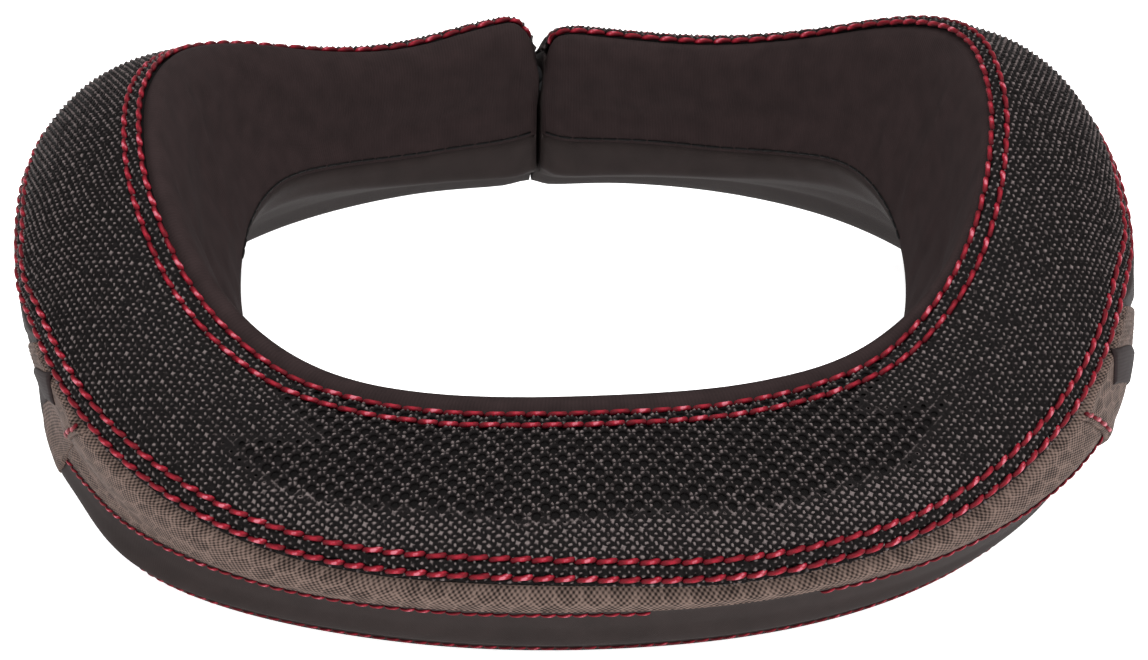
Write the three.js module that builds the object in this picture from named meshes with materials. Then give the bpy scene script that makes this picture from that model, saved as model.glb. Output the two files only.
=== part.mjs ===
import * as THREE from 'three';

// Protective neck collar: a padded ring in sewn cloth, split at the back, standing on its underside.
// Millimetres, up is +Z, and the front of the collar is toward -Y.

// The plan ovals that the section points follow, by half width, reach and squareness.
const OVALS = {
  rim: { half: 111, front: 87, back: 84, square: 2.36 },
  edge: { half: 143.5, front: 128.5, back: 124, square: 2.16 },
  bulge: { half: 146.5, front: 130, back: 128, square: 2.14 },
  seam: { half: 145, front: 127.5, back: 129, square: 2.1 },
  hem: { half: 139, front: 122, back: 127, square: 2.06 },
  neck: { half: 87, front: 66, back: 87, square: 2.2 },
};

// Sections by the angle from the front: heights of the section points, the crown of the top panel,
// the width of the flat tread, how far the underside cloth reaches up the inner wall,
// and how far past the crest the mesh begins.
const COLUMNS = ['angle', 'rim', 'edge', 'bulge', 'seam', 'neck', 'foot', 'crown', 'tread', 'rise', 'mesh'];
const SECTIONS = [
  [0, 49, 30, 22.5, 16, 13, 0, 2.5, 17, 1, 7],
  [30, 49.5, 30.5, 23, 16, 12, 0, 2.5, 17, 1, 6.8],
  [45, 52.5, 34, 25, 17, 13, 0, 3, 17, 1, 6],
  [60, 63, 43, 31, 19, 17, 0, 3.5, 17, 1, 4.5],
  [75, 80, 55, 38, 22, 28, 0, 4, 16, 1, 3],
  [90, 91, 62, 42, 23, 38, 0, 5, 15, 1, 3],
  [105, 92.5, 64, 43, 23, 43, 0, 5.5, 9, 1.5, 3],
  [120, 85, 60, 41, 22, 43, 1, 5, 2, 3, 3],
  [135, 75, 52, 37, 20, 35, 5, 2.5, 2, 6, 3],
  [150, 70, 46, 35, 20, 28, 6.5, 1.5, 2, 9, 3],
  [165, 70.5, 44, 34, 20, 25, 7, 1.5, 2, 12, 3],
  [180, 73, 44, 34, 20, 24, 7, 1.5, 2, 13, 3],
].map((row) => Object.fromEntries(row.map((value, i) => [COLUMNS[i], value])));

// Where the soft wall is pressed in, or swells out where a depth is below zero.
const DENTS = [
  { angle: -118, span: 20, edge: -4 },
  { angle: -70, span: 18, bulge: 3.5, seam: 5.5, hem: 2 },
  { angle: -66, span: 11, seam: 2, hem: 4.5 },
  { angle: 35, span: 24, seam: -1, hem: -2.5 },
  { angle: 64, span: 14, bulge: 0.5, seam: -1.5, hem: -0.5 },
  { angle: 112, span: 18, edge: 2 },
];

// Rounding of the section.
const CREST_REACH = 5.5;
const CREST_DROP = 0.6;
const LIP_REACH = 4;
const LIP_FALL = 9;
const WALL_HOLLOW = 2;
const CROWN_PLACE = 0.52;
const HEM_HEIGHT = 4;
const FOOT_INSET = 5;
const FOOT_SINK = 1.2;
const BELLY_RISE = 3;

// The soft ring stands a little askew: its body lies to the right over its front base,
// its right shoulder is the taller one, and the left end is drawn up at the slit.
const BODY_SHIFT = 2.6;
const BASE_SHIFT = -4;
const SHIFT_HEIGHT = 24;
const SHOULDER_RISE = 0.00022;
const LEFT_END_RISE = 6;
const LEFT_END_REACH = 58;

// The slit at the back, a little to the left of the middle, and the rounded ends beside it.
const SLIT_ANGLE = 185;
const SLIT_GAP = 1.6;
const SLIT_RADIUS = 100;
const END_ROUNDING = [
  { setBack: 0, shrink: 0.24 },
  { setBack: 1.8, shrink: 0.14 },
  { setBack: 4.5, shrink: 0.06 },
  { setBack: 8.5, shrink: 0.015 },
  { setBack: 13, shrink: 0 },
];

// Cloth thickness, how far each cloth stands proud, and the gaps.
const CLOTH = 2;
const END_CLOTH = 1.5;
const MESH_PROUD = 1;
const SIDE_PROUD = 0.8;
const FRONT_PROUD = 0.5;
const GAP = 0.3;
const FOAM_GAP = 1.5;

// Where the panels meet, as lengths along the section and angles round the ring.
// The hemmed front edge of a side panel slants back as it goes down from the mesh.
const MESH_OUTER_LAP = 5;
const FRONT_END = 57.5;
const HEM_SLANT = 14;
const HEM_GAP = 1;
const SIDE_END = 79;

// The side straps, and the closure tab behind the slit.
const STRAP = { wide: 4.2, thick: 1.4, angle: 73, slant: 9 };
const TAB = { reach: 20, thick: 2, below: 2, above: 5 };

// How finely each form is divided.
const STEP = 6.4;
const ROWS = { mesh: 7, lining: 6, underside: 8, front: 5, lower: 4, outside: 7, strap: 5, tab: 4 };
const STRAP_COLUMNS = 3;
const FOAM_STEPS = 26;
const CORNER_EASE = 0.1;
const WALK_STEPS = 8;

// Colours of the cloths.
const MESH_BLACK = 0x26272a;
const LINING_BLACK = 0x2c2727;
const CLOTH_BLACK = 0x232120;
const TAUPE = 0x6a625e;
const WEB_BLACK = 0x1c1b1b;
const FOAM_GREY = 0x3a3a3c;

// Section points in order, from the inner lower edge up over the rim and down to the foot.
const NECK = 0;
const CREST = 3;
const EDGE = 6;
const BELOW_MESH = 6.7;
const SEAM = 8;
const HEM = 9;
const POINTS = 13;

const { clamp, degToRad, radToDeg, euclideanModulo, lerp, smoothstep } = THREE.MathUtils;
const HALF_TURN = 180;
const signedTurn = (angle) => euclideanModulo(angle + HALF_TURN, 2 * HALF_TURN) - HALF_TURN;

function ovalRadius({ half, front, back, square }, angle) {
  const forward = Math.cos(degToRad(angle));
  const sideways = Math.sin(degToRad(angle));
  const reach = forward > 0 ? front : back;
  const sum = Math.abs(sideways / half) ** square + Math.abs(forward / reach) ** square;
  return sum ** (-1 / square);
}

// Smooth reading of one column of the sections, the same on both sides of the collar.
function column(name, angle) {
  const turn = Math.abs(signedTurn(angle));
  const last = SECTIONS.length - 1;
  const mirror = (i) => (i < 0 ? -i : Math.min(i, 2 * last - i));
  const value = (i) => SECTIONS[mirror(i)][name];
  const place = (i) => {
    const row = SECTIONS[mirror(i)].angle;
    if (i < 0) return -row;
    return i > last ? 2 * HALF_TURN - row : row;
  };
  const next = SECTIONS.findIndex((row, i) => i > 0 && turn <= row.angle);
  const row = (next < 0 ? last : next) - 1;
  const slope = (i) => (value(i + 1) - value(i - 1)) / (place(i + 1) - place(i - 1));
  const span = place(row + 1) - place(row);
  const f = (turn - place(row)) / span;
  const level = lerp(value(row), value(row + 1), f * f * (3 - 2 * f));
  return level + span * f * (1 - f) * ((1 - f) * slope(row) - f * slope(row + 1));
}

// How far one section point is pressed in.
function dent(name, angle) {
  return DENTS.reduce((sum, row) => {
    const f = (angle - row.angle) / row.span;
    return sum + (row[name] ?? 0) * Math.exp(-f * f);
  }, 0);
}

// Length along the ring from the slit, below zero on the right of it.
const fromSlit = (angle) => degToRad(signedTurn(angle - SLIT_ANGLE)) * SLIT_RADIUS;

// How far the section has shrunk toward its middle near the two ends of the ring.
function endShrink(angle) {
  const back = Math.abs(fromSlit(angle)) - SLIT_GAP / 2;
  const next = END_ROUNDING.findIndex((row, i) => i > 0 && back < row.setBack);
  if (next < 0) return 0;
  const [from, to] = END_ROUNDING.slice(next - 1, next + 1);
  const f = Math.max(0, (back - from.setBack) / (to.setBack - from.setBack));
  return lerp(from.shrink, to.shrink, f);
}

// The section at one angle as a smooth closed curve: x is the distance from the axis, z the height.
const sections = new Map();
function section(angle, rounded = true) {
  const key = `${angle} ${rounded}`;
  if (sections.has(key)) return sections.get(key);
  const point = (r, z) => new THREE.Vector3(r, 0, z);
  const radius = (name) => ovalRadius(OVALS[name], angle) - dent(name, angle);
  const on = (name) => point(radius(name), column(name, angle));
  const rim = on('rim');
  const leftOfSlit = fromSlit(angle);
  if (leftOfSlit > 0) rim.z += LEFT_END_RISE * (1 - smoothstep(leftOfSlit, 0, LEFT_END_REACH));
  const edge = on('edge');
  const neck = on('neck');
  const fall = edge.clone().sub(rim).normalize();
  const out = point(-fall.z, fall.x);
  const crest = rim.clone().addScaledVector(fall, -CREST_REACH).addScaledVector(out, -CREST_DROP);
  const lip = crest.clone().add(point(-LIP_REACH, -LIP_FALL));
  const wall = neck.clone().lerp(lip, 0.5).add(point(WALL_HOLLOW, 0));
  const crown = rim.clone().lerp(edge, CROWN_PLACE).addScaledVector(out, column('crown', angle));
  const hem = radius('hem');
  const foot = column('foot', angle);
  const footOut = point(hem - FOOT_INSET, foot - FOOT_SINK);
  const footIn = footOut.clone().sub(point(column('tread', angle), 0));
  const belly = footIn.clone().lerp(neck, 0.5).add(point(0, BELLY_RISE));
  const ring = [
    neck,
    wall,
    lip,
    crest,
    rim,
    crown,
    edge,
    on('bulge'),
    on('seam'),
    point(hem, foot + HEM_HEIGHT),
    footOut,
    footIn,
    belly,
  ];
  const middle = ring.reduce((sum, p) => sum.add(p), point(0, 0)).divideScalar(POINTS);
  if (rounded) ring.forEach((p) => p.lerp(middle, endShrink(angle)));
  const curve = new THREE.CatmullRomCurve3(ring, true, 'centripetal');
  sections.set(key, curve);
  return curve;
}

const onCurve = (u) => euclideanModulo(u, POINTS) / POINTS;

// Moves a section parameter by a length along the curve.
function along(angle, u, length) {
  const curve = section(angle);
  const small = 0.01;
  let at = u;
  for (let i = 0; i < WALK_STEPS; i += 1) {
    const speed = curve.getPoint(onCurve(at + small)).distanceTo(curve.getPoint(onCurve(at))) / small;
    at += length / WALK_STEPS / speed;
  }
  return at;
}

// A point of the cover at an angle and section parameter, off the surface by a height.
// The underside is pressed flat where the collar stands.
function cover(angle, u, off, rounded = true) {
  const curve = section(angle, rounded);
  const p = curve.getPoint(onCurve(u));
  const t = curve.getTangent(onCurve(u));
  const r = p.x - t.z * off;
  const z = Math.max(p.z + t.x * off, -off);
  const a = degToRad(angle);
  const x = r * Math.sin(a);
  const low = 1 - smoothstep(z, 0, SHIFT_HEIGHT);
  const front = 0.5 + 0.5 * Math.cos(a);
  const shift = lerp(BODY_SHIFT, BASE_SHIFT, low * front);
  return new THREE.Vector3(x + shift, -r * Math.cos(a), z * (1 + SHOULDER_RISE * x));
}

function solid(points, faces) {
  const places = points.flatMap((p) => p.toArray());
  const geometry = new THREE.BufferGeometry();
  geometry.setAttribute('position', new THREE.Float32BufferAttribute(places, 3));
  geometry.setIndex(faces);
  geometry.computeVertexNormals();
  return geometry;
}

// A cloth panel as a closed wall: place gives the point for a column, a row and a face of the cloth.
function panel(columns, rows, place) {
  const points = [];
  const faces = [];
  const index = (i, j, face) => (i * (rows + 1) + j) * 2 + face;
  const quad = (a, b, c, d) => faces.push(a, c, b, a, d, c);
  for (let i = 0; i <= columns; i += 1) {
    for (let j = 0; j <= rows; j += 1) {
      points.push(place(i, j, 0), place(i, j, 1));
    }
  }
  for (let i = 0; i < columns; i += 1) {
    for (let j = 0; j < rows; j += 1) {
      quad(index(i, j, 1), index(i + 1, j, 1), index(i + 1, j + 1, 1), index(i, j + 1, 1));
      quad(index(i, j, 0), index(i, j + 1, 0), index(i + 1, j + 1, 0), index(i + 1, j, 0));
    }
    quad(index(i, 0, 0), index(i + 1, 0, 0), index(i + 1, 0, 1), index(i, 0, 1));
    quad(index(i, rows, 1), index(i + 1, rows, 1), index(i + 1, rows, 0), index(i, rows, 0));
  }
  for (let j = 0; j < rows; j += 1) {
    quad(index(0, j, 0), index(0, j, 1), index(0, j + 1, 1), index(0, j + 1, 0));
    quad(index(columns, j, 0), index(columns, j + 1, 0), index(columns, j + 1, 1), index(columns, j, 1));
  }
  return solid(points, faces);
}

// A full section carried along the ring with its corners eased, closed flat at both ends.
function pad(angles, inset) {
  const points = [];
  const faces = [];
  const ring = FOAM_STEPS;
  angles.forEach((angle) => {
    const hard = Array.from({ length: ring }, (_, j) => cover(angle, (j / ring) * POINTS, -inset));
    hard.forEach((p, j) => {
      const chord = hard[(j + 1) % ring].clone().lerp(hard[(j + ring - 1) % ring], 0.5);
      points.push(p.clone().lerp(chord, CORNER_EASE));
    });
  });
  for (let i = 0; i < angles.length - 1; i += 1) {
    for (let j = 0; j < ring; j += 1) {
      const a = i * ring + j;
      const b = i * ring + ((j + 1) % ring);
      faces.push(a, b + ring, a + ring, a, b, b + ring);
    }
  }
  const cap = (first, turned) => {
    const hub = points.length;
    const outline = points.slice(first, first + ring);
    points.push(outline.reduce((sum, p) => sum.add(p), new THREE.Vector3()).divideScalar(ring));
    for (let j = 0; j < ring; j += 1) {
      const a = first + j;
      const b = first + ((j + 1) % ring);
      faces.push(hub, turned ? b : a, turned ? a : b);
    }
  };
  cap(0, true);
  cap((angles.length - 1) * ring, false);
  return solid(points, faces);
}

// Angles for a run of the ring, evenly spaced.
function run(from, to) {
  const count = Math.max(1, Math.round((to - from) / STEP));
  return Array.from({ length: count + 1 }, (_, i) => lerp(from, to, i / count));
}

// Angles for a run that ends at the slit, with extra sections through the rounded end.
const degreesFor = (length) => radToDeg(length / SLIT_RADIUS);
const END_SETBACK = degreesFor(SLIT_GAP / 2 + END_CLOTH + GAP);
const END_ANGLE = SLIT_ANGLE - END_SETBACK;
const START_ANGLE = SLIT_ANGLE - 2 * HALF_TURN + END_SETBACK;
const [NEAR, MID, FAR] = END_ROUNDING.slice(2).map((row) => degreesFor(row.setBack));
const endSteps = [END_ANGLE - MID, END_ANGLE - NEAR, END_ANGLE];
const startSteps = [START_ANGLE, START_ANGLE + NEAR, START_ANGLE + MID];
const endRun = (from) => [...run(from, END_ANGLE - FAR), ...endSteps];
const startRun = (to) => [...startSteps, ...run(START_ANGLE + FAR, to)];
const RING = [...startRun(0), ...endRun(0).slice(1)];

// A panel over a run of angles between two borders of the section, which may lean as it goes down.
function strip(angles, rows, from, to, proud, lean = () => 0) {
  const borders = angles.map((angle) => [from(angle), to(angle)]);
  return panel(angles.length - 1, rows, (i, j, face) => {
    const [start, end] = borders[i];
    const u = lerp(start, end, j / rows);
    return cover(angles[i] + lean(angles[i], u), u, face ? proud : -CLOTH);
  });
}

// Borders between the panels.
const liningFoot = (angle) => along(angle, NECK, column('rise', angle));
const meshInner = (angle) => along(angle, CREST, column('mesh', angle));
const meshOuter = (angle) => along(angle, EDGE, MESH_OUTER_LAP);
const bandSeam = () => SEAM;
const hemLine = () => HEM;
const past = (border, length = GAP) => (angle) => along(angle, border(angle), length);

const group = new THREE.Group();
group.name = 'neck_collar';

function add(name, geometry, color, roughness) {
  const material = new THREE.MeshStandardMaterial({ color, roughness, metalness: 0 });
  const mesh = new THREE.Mesh(geometry, material);
  mesh.name = name;
  group.add(mesh);
}

// The padded body under every cover.
add('padded_body', pad(RING, CLOTH + FOAM_GAP), FOAM_GREY, 0.95);

// The mesh over the sloping top.
add('mesh_top_panel', strip(RING, ROWS.mesh, meshInner, meshOuter, MESH_PROUD), MESH_BLACK, 0.85);

// The lining of the neck hollow, and the underside cloth that meets it in a seam.
const lining = strip(RING, ROWS.lining, past(liningFoot), past(meshInner, -GAP), 0);
add('neck_lining', lining, LINING_BLACK, 0.9);
const seamUnder = (angle) => liningFoot(angle) + POINTS;
const underside = strip(RING, ROWS.underside, past(hemLine, HEM_GAP), seamUnder, 0);
add('underside_panel', underside, CLOTH_BLACK, 0.7);

// The two bands around the front, whose ends slant back with the hems of the side panels.
const hemLean = (u) => HEM_SLANT * clamp((u - BELOW_MESH) / (HEM - BELOW_MESH), 0, 1);
const frontLean = (angle, u) => (angle / FRONT_END) * hemLean(u);
const frontAngles = run(-FRONT_END, FRONT_END);
const front = strip(frontAngles, ROWS.front, past(meshOuter), bandSeam, FRONT_PROUD, frontLean);
const lower = strip(frontAngles, ROWS.lower, past(bandSeam), hemLine, 0, frontLean);
add('front_band', front, TAUPE, 0.8);
add('lower_front_band', lower, CLOTH_BLACK, 0.6);

// The side panels, hemmed at the ends of the front bands.
const SIDE_START = FRONT_END + degreesFor(HEM_GAP);
const sideLean = (angle, u) => {
  const toBack = (SIDE_END - Math.abs(angle)) / (SIDE_END - SIDE_START);
  return Math.sign(angle) * toBack * hemLean(u);
};
const outside = (angles, proud, lean) => strip(angles, ROWS.outside, past(meshOuter), hemLine, proud, lean);
add('right_side_panel', outside(run(SIDE_START, SIDE_END), SIDE_PROUD, sideLean), TAUPE, 0.8);
add('left_side_panel', outside(run(-SIDE_END, -SIDE_START), SIDE_PROUD, sideLean), TAUPE, 0.8);

// The rear panels, from the side panels to the slit.
const SEAM_GAP = degreesFor(GAP);
add('right_rear_panel', outside(endRun(SIDE_END + SEAM_GAP), 0), CLOTH_BLACK, 0.7);
add('left_rear_panel', outside(startRun(-SIDE_END - SEAM_GAP), 0), CLOTH_BLACK, 0.7);

// The straps sewn across the side panels, slanting back as they go down.
function strap(side) {
  const lift = SIDE_PROUD + GAP;
  return panel(STRAP_COLUMNS, ROWS.strap, (i, j, face) => {
    const down = j / ROWS.strap;
    const lean = side * STRAP.slant * (down - 0.5);
    const angle = side * STRAP.angle + lean + STRAP.wide * (i / STRAP_COLUMNS - 0.5);
    return cover(angle, lerp(past(meshOuter)(angle), SEAM, down), face ? lift + STRAP.thick : lift);
  });
}
add('right_side_strap', strap(1), WEB_BLACK, 0.75);
add('left_side_strap', strap(-1), WEB_BLACK, 0.75);

// The cloth that closes the two ends of the ring.
const endFrom = END_ANGLE + SEAM_GAP;
const startTo = START_ANGLE - SEAM_GAP;
add('right_end_panel', pad([endFrom, endFrom + degreesFor(END_CLOTH)], 0), CLOTH_BLACK, 0.7);
add('left_end_panel', pad([startTo - degreesFor(END_CLOTH), startTo], 0), CLOTH_BLACK, 0.7);

// The closure tab lies over the rear panels and bridges the slit.
const tabAngles = run(SLIT_ANGLE - TAB.reach, SLIT_ANGLE + TAB.reach);
const tab = panel(tabAngles.length - 1, ROWS.tab, (i, j, face) => {
  const angle = tabAngles[i];
  const top = past(meshOuter, TAB.below)(angle);
  const foot = past(hemLine, -TAB.above)(angle);
  return cover(angle, lerp(top, foot, j / ROWS.tab), face ? GAP + TAB.thick : GAP, false);
});
add('closure_tab', tab, WEB_BLACK, 0.75);

// The middle of the base is the origin.
const box = new THREE.Box3().setFromObject(group);
const centre = box.getCenter(new THREE.Vector3());
group.children.forEach((mesh) => mesh.geometry.translate(-centre.x, -centre.y, -box.min.z));

export default group;
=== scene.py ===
import math

import bpy
import numpy as np
from mathutils import Euler, Matrix, Vector
from mathutils.bvhtree import BVHTree


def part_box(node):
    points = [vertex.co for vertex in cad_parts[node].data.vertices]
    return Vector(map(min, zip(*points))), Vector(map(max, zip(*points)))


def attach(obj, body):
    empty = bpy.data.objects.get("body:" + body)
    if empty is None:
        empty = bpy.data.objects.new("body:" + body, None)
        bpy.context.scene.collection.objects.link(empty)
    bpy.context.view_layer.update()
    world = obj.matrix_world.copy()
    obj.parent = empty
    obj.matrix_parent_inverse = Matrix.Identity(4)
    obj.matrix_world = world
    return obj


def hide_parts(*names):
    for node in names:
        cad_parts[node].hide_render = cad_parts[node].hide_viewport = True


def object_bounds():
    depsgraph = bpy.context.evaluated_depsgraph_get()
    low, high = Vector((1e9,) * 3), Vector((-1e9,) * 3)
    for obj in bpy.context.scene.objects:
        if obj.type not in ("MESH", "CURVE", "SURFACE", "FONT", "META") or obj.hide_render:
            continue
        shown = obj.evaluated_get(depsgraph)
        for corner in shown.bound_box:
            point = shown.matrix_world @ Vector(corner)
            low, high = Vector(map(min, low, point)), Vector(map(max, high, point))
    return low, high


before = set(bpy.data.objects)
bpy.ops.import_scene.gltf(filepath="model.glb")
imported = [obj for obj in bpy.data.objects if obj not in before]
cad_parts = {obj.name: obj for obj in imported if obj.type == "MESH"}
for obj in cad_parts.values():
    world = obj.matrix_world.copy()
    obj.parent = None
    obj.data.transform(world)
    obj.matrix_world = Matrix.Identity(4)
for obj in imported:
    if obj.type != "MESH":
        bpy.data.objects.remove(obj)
cad_low, cad_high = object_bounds()
bpy.ops.object.select_all(action="DESELECT")
scene = bpy.context.scene
MM = 0.001

# Camera. A long lens in front of the collar and above it, a little to its left,
# tilted and rolled by a degree or less, so that the collar nearly fills the picture.
CAMERA_DISTANCE = 898 * MM
CAMERA_ELEVATION = math.radians(27.96)
CAMERA_TURN = math.radians(-3.32)
CAMERA_TILT = math.radians(0.99)
CAMERA_ROLL = math.radians(0.3)
CAMERA_TARGET = 40 * MM
CAMERA_SENSOR = 36
CAMERA_LENS = 106.55
level_distance = CAMERA_DISTANCE * math.cos(CAMERA_ELEVATION)
bpy.ops.object.camera_add(
    location=(
        level_distance * math.sin(CAMERA_TURN),
        -level_distance * math.cos(CAMERA_TURN),
        CAMERA_TARGET + CAMERA_DISTANCE * math.sin(CAMERA_ELEVATION),
    )
)
camera = bpy.context.object
aim = Euler((math.pi / 2 - CAMERA_ELEVATION - CAMERA_TILT, 0, CAMERA_TURN)).to_matrix()
camera.rotation_euler = (aim @ Matrix.Rotation(CAMERA_ROLL, 3, "Z")).to_euler()
camera.data.sensor_width = CAMERA_SENSOR
camera.data.lens = CAMERA_LENS
scene.camera = camera

# Room. A pale light table that glows a little from below, under broad soft light from above, the front
# and both sides, in an even white surround, so that the shadows stay faint.
FLOOR_SIZE = 12
FLOOR_GLOW = 0.8
SURROUND_POWER = 0.85


def linear(colour):
    """A hex colour as the shader's own linear values."""
    parts = [int(colour[i : i + 2], 16) / 255 for i in (1, 3, 5)]
    return [p / 12.92 if p <= 0.04045 else ((p + 0.055) / 1.055) ** 2.4 for p in parts] + [1]


def new_material(name, **values):
    """A material with the even values of its surface shader."""
    material = bpy.data.materials.new(name)
    material.use_nodes = True
    shader = material.node_tree.nodes["Principled BSDF"]
    for socket, value in values.items():
        shader.inputs[socket.replace("_", " ")].default_value = value
    return material


def add_node(material, kind, inputs=None, **settings):
    """A node in a material, with its settings, its values and its links."""
    made = material.node_tree.nodes.new(kind)
    for name, value in settings.items():
        setattr(made, name, value)
    for name, value in (inputs or {}).items():
        if isinstance(value, bpy.types.NodeSocket):
            material.node_tree.links.new(value, made.inputs[name])
        else:
            made.inputs[name].default_value = value
    return made


bpy.ops.mesh.primitive_plane_add(size=FLOOR_SIZE)
floor = bpy.context.object
floor.name = floor.data.name = "floor"
# Opal acrylic, matted: white through and through, so that it shines evenly when it is lit from below.
opal = new_material(
    "Matte opal acrylic", Base_Color=linear("#fbfafa"), Roughness=0.9,
    Emission_Color=linear("#ffffff"), Emission_Strength=FLOOR_GLOW,
)
floor.data.materials.append(opal)
floor.select_set(False)

# Each softbox with its place in metres, its width in metres and its power in watts.
SOFTBOXES = {
    "overhead_softbox": ((0.0, -0.35, 1.7), 1.6, 28),
    "left_softbox": ((-1.5, -0.6, 0.9), 1.0, 5),
    "right_softbox": ((1.5, -0.6, 0.9), 1.0, 10),
    "front_softbox": ((0.0, -1.9, 0.8), 1.2, 9),
}
for name, (place, size, power) in SOFTBOXES.items():
    bpy.ops.object.light_add(type="AREA", location=place)
    softbox = bpy.context.object
    softbox.name = name
    softbox.rotation_euler = Vector(place).to_track_quat("Z", "Y").to_euler()
    softbox.data.size = size
    softbox.data.energy = power
    softbox.select_set(False)
scene.world = bpy.data.worlds.new("White surround")
scene.world.use_nodes = True
surround = scene.world.node_tree.nodes["Background"]
surround.inputs["Color"].default_value = linear("#ffffff")
surround.inputs["Strength"].default_value = SURROUND_POWER
scene.view_settings.view_transform = "Standard"

# Padded body. A ring of soft closed-cell foam with a sloping top, bent round the neck and left open
# in a slit at the back. Its cover is read from the frame all the way round, as half-plane sections.
COLUMNS = 721
RAYS = 360
SLIT_MARGIN = math.radians(1.7)
RAY_REACH = 75 * MM
LINING, MESH, OUTSIDE, UNDERSIDE = 1, 2, 3, 4
COVER_CLASS = {
    "neck_lining": LINING,
    "mesh_top_panel": MESH,
    "front_band": OUTSIDE,
    "lower_front_band": OUTSIDE,
    "right_side_panel": OUTSIDE,
    "left_side_panel": OUTSIDE,
    "right_rear_panel": OUTSIDE,
    "left_rear_panel": OUTSIDE,
    "underside_panel": UNDERSIDE,
    "padded_body": 0,
}


def turn_of(x, y):
    """The angle round the ring from the front, positive toward +X."""
    return np.arctan2(x, -y)


def smooth(values, spread, axis, mode):
    """A Gaussian blur along one axis of an array, spread in samples."""
    size = int(3 * spread) + 1
    weights = np.exp(-0.5 * (np.arange(-size, size + 1) / spread) ** 2)
    weights /= weights.sum()
    moved = np.moveaxis(values, axis, 0)
    wide = np.pad(moved, [(size, size)] + [(0, 0)] * (moved.ndim - 1), mode=mode)
    blurred = sum(w * wide[i : i + len(moved)] for i, w in enumerate(weights))
    return np.moveaxis(blurred, 0, axis)


ends = [sum(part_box(name), start=cad_low * 0) / 2 for name in ("left_end_panel", "right_end_panel")]
slit_turn = float(turn_of(ends[0].x + ends[1].x, ends[0].y + ends[1].y)) % math.tau
turns = np.linspace(slit_turn - math.tau + SLIT_MARGIN, slit_turn - SLIT_MARGIN, COLUMNS)

cover_corners, cover_faces, face_class = [], [], []
for name, panel_class in COVER_CLASS.items():
    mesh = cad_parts[name].data
    cover_faces += [[len(cover_corners) + i for i in face.vertices] for face in mesh.polygons]
    face_class += [panel_class] * len(mesh.polygons)
    cover_corners += [vertex.co.copy() for vertex in mesh.vertices]
cover_tree = BVHTree.FromPolygons(cover_corners, cover_faces)

# The middle of each section, from the foam's own corners near that half-plane.
NEAR_TURN = math.radians(6)
foam = np.array([vertex.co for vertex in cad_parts["padded_body"].data.vertices])
foam_turn = turn_of(foam[:, 0], foam[:, 1])
foam_section = np.stack([np.hypot(foam[:, 0], foam[:, 1]), foam[:, 2]], axis=1)
away = np.angle(np.exp(1j * (foam_turn[None] - turns[:, None])))
near = np.exp(-((away / NEAR_TURN) ** 2))
middle = near @ foam_section / near.sum(axis=1, keepdims=True)

# Rays run inward to the cover, from straight below, up the neck side and down the outside.
ray_angle = np.arange(RAYS) * math.tau / RAYS
rho = np.zeros((COLUMNS, RAYS))
kind = np.zeros((COLUMNS, RAYS), int)
for k, turn in enumerate(turns):
    out = np.array([math.sin(turn), -math.cos(turn), 0])
    centre = out * middle[k, 0] + np.array([0, 0, middle[k, 1]])
    for j, angle in enumerate(ray_angle):
        ray = out * -math.sin(angle) + np.array([0, 0, -math.cos(angle)])
        _, _, index, length = cover_tree.ray_cast(centre + ray * RAY_REACH, -ray)
        rho[k, j] = RAY_REACH - length
        kind[k, j] = face_class[index]

# Gaps between the panels are closed by a median, and the facets by a blur that fades out at the ends.
BLUR_ACROSS = 2
BLUR_ROUND = 6
BLUR_ENDS = 1.5
BLUR_FADE = 24
window = [np.roll(np.roll(rho, i, 0), j, 1) for i in (-1, 0, 1) for j in range(-2, 3)]
whole = np.median(window, axis=0)
whole[[0, -1]] = whole[[1, -2]]
soft = smooth(smooth(whole, BLUR_ACROSS, 1, "wrap"), BLUR_ROUND, 0, "edge")
from_end = np.minimum(np.arange(COLUMNS), np.arange(COLUMNS)[::-1])
inside = np.clip(from_end / BLUR_FADE, 0, 1)[:, None]
rho = soft * inside + smooth(whole, BLUR_ENDS, 1, "wrap") * (1 - inside)

# Borders of the panels as ray angles: lining foot, mesh inner edge, mesh outer edge, hem, lining foot.
first = {c: np.argmax(kind == c, axis=1).astype(float) for c in (LINING, MESH, OUTSIDE)}
past_half = np.arange(RAYS) > RAYS / 2
hem_ray = np.argmax((kind == UNDERSIDE) & past_half, axis=1).astype(float)
borders = np.stack([first[LINING], first[MESH], first[OUTSIDE], hem_ray, first[LINING] + RAYS], axis=1)
borders = smooth(borders - 0.5, BLUR_ROUND, 0, "edge")

# The cover as a grid: each section is divided evenly between its borders.
# u runs 0 to 1 up the lining, to 2 over the mesh, to 3 down the outside and to 4 under the collar.
DIVISIONS = 64
FINE_STEPS = 400
skin = np.zeros((COLUMNS, 4 * DIVISIONS + 1, 3))
across = np.zeros((COLUMNS, 4))
for k, turn in enumerate(turns):
    for side in range(4):
        fine = np.linspace(borders[k, side], borders[k, side + 1], FINE_STEPS)
        length = np.interp(fine, np.arange(2 * RAYS), np.tile(rho[k], 2))
        angle = fine * math.tau / RAYS
        r = middle[k, 0] - np.sin(angle) * length
        z = middle[k, 1] - np.cos(angle) * length
        run = np.concatenate([[0], np.cumsum(np.hypot(np.diff(r), np.diff(z)))])
        across[k, side] = run[-1]
        even = np.linspace(0, run[-1], DIVISIONS + 1)
        r, z = np.interp(even, run, r), np.interp(even, run, z)
        rows = slice(side * DIVISIONS, (side + 1) * DIVISIONS + 1)
        skin[k, rows] = np.stack([r * math.sin(turn), -r * math.cos(turn), z], axis=1)

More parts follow.
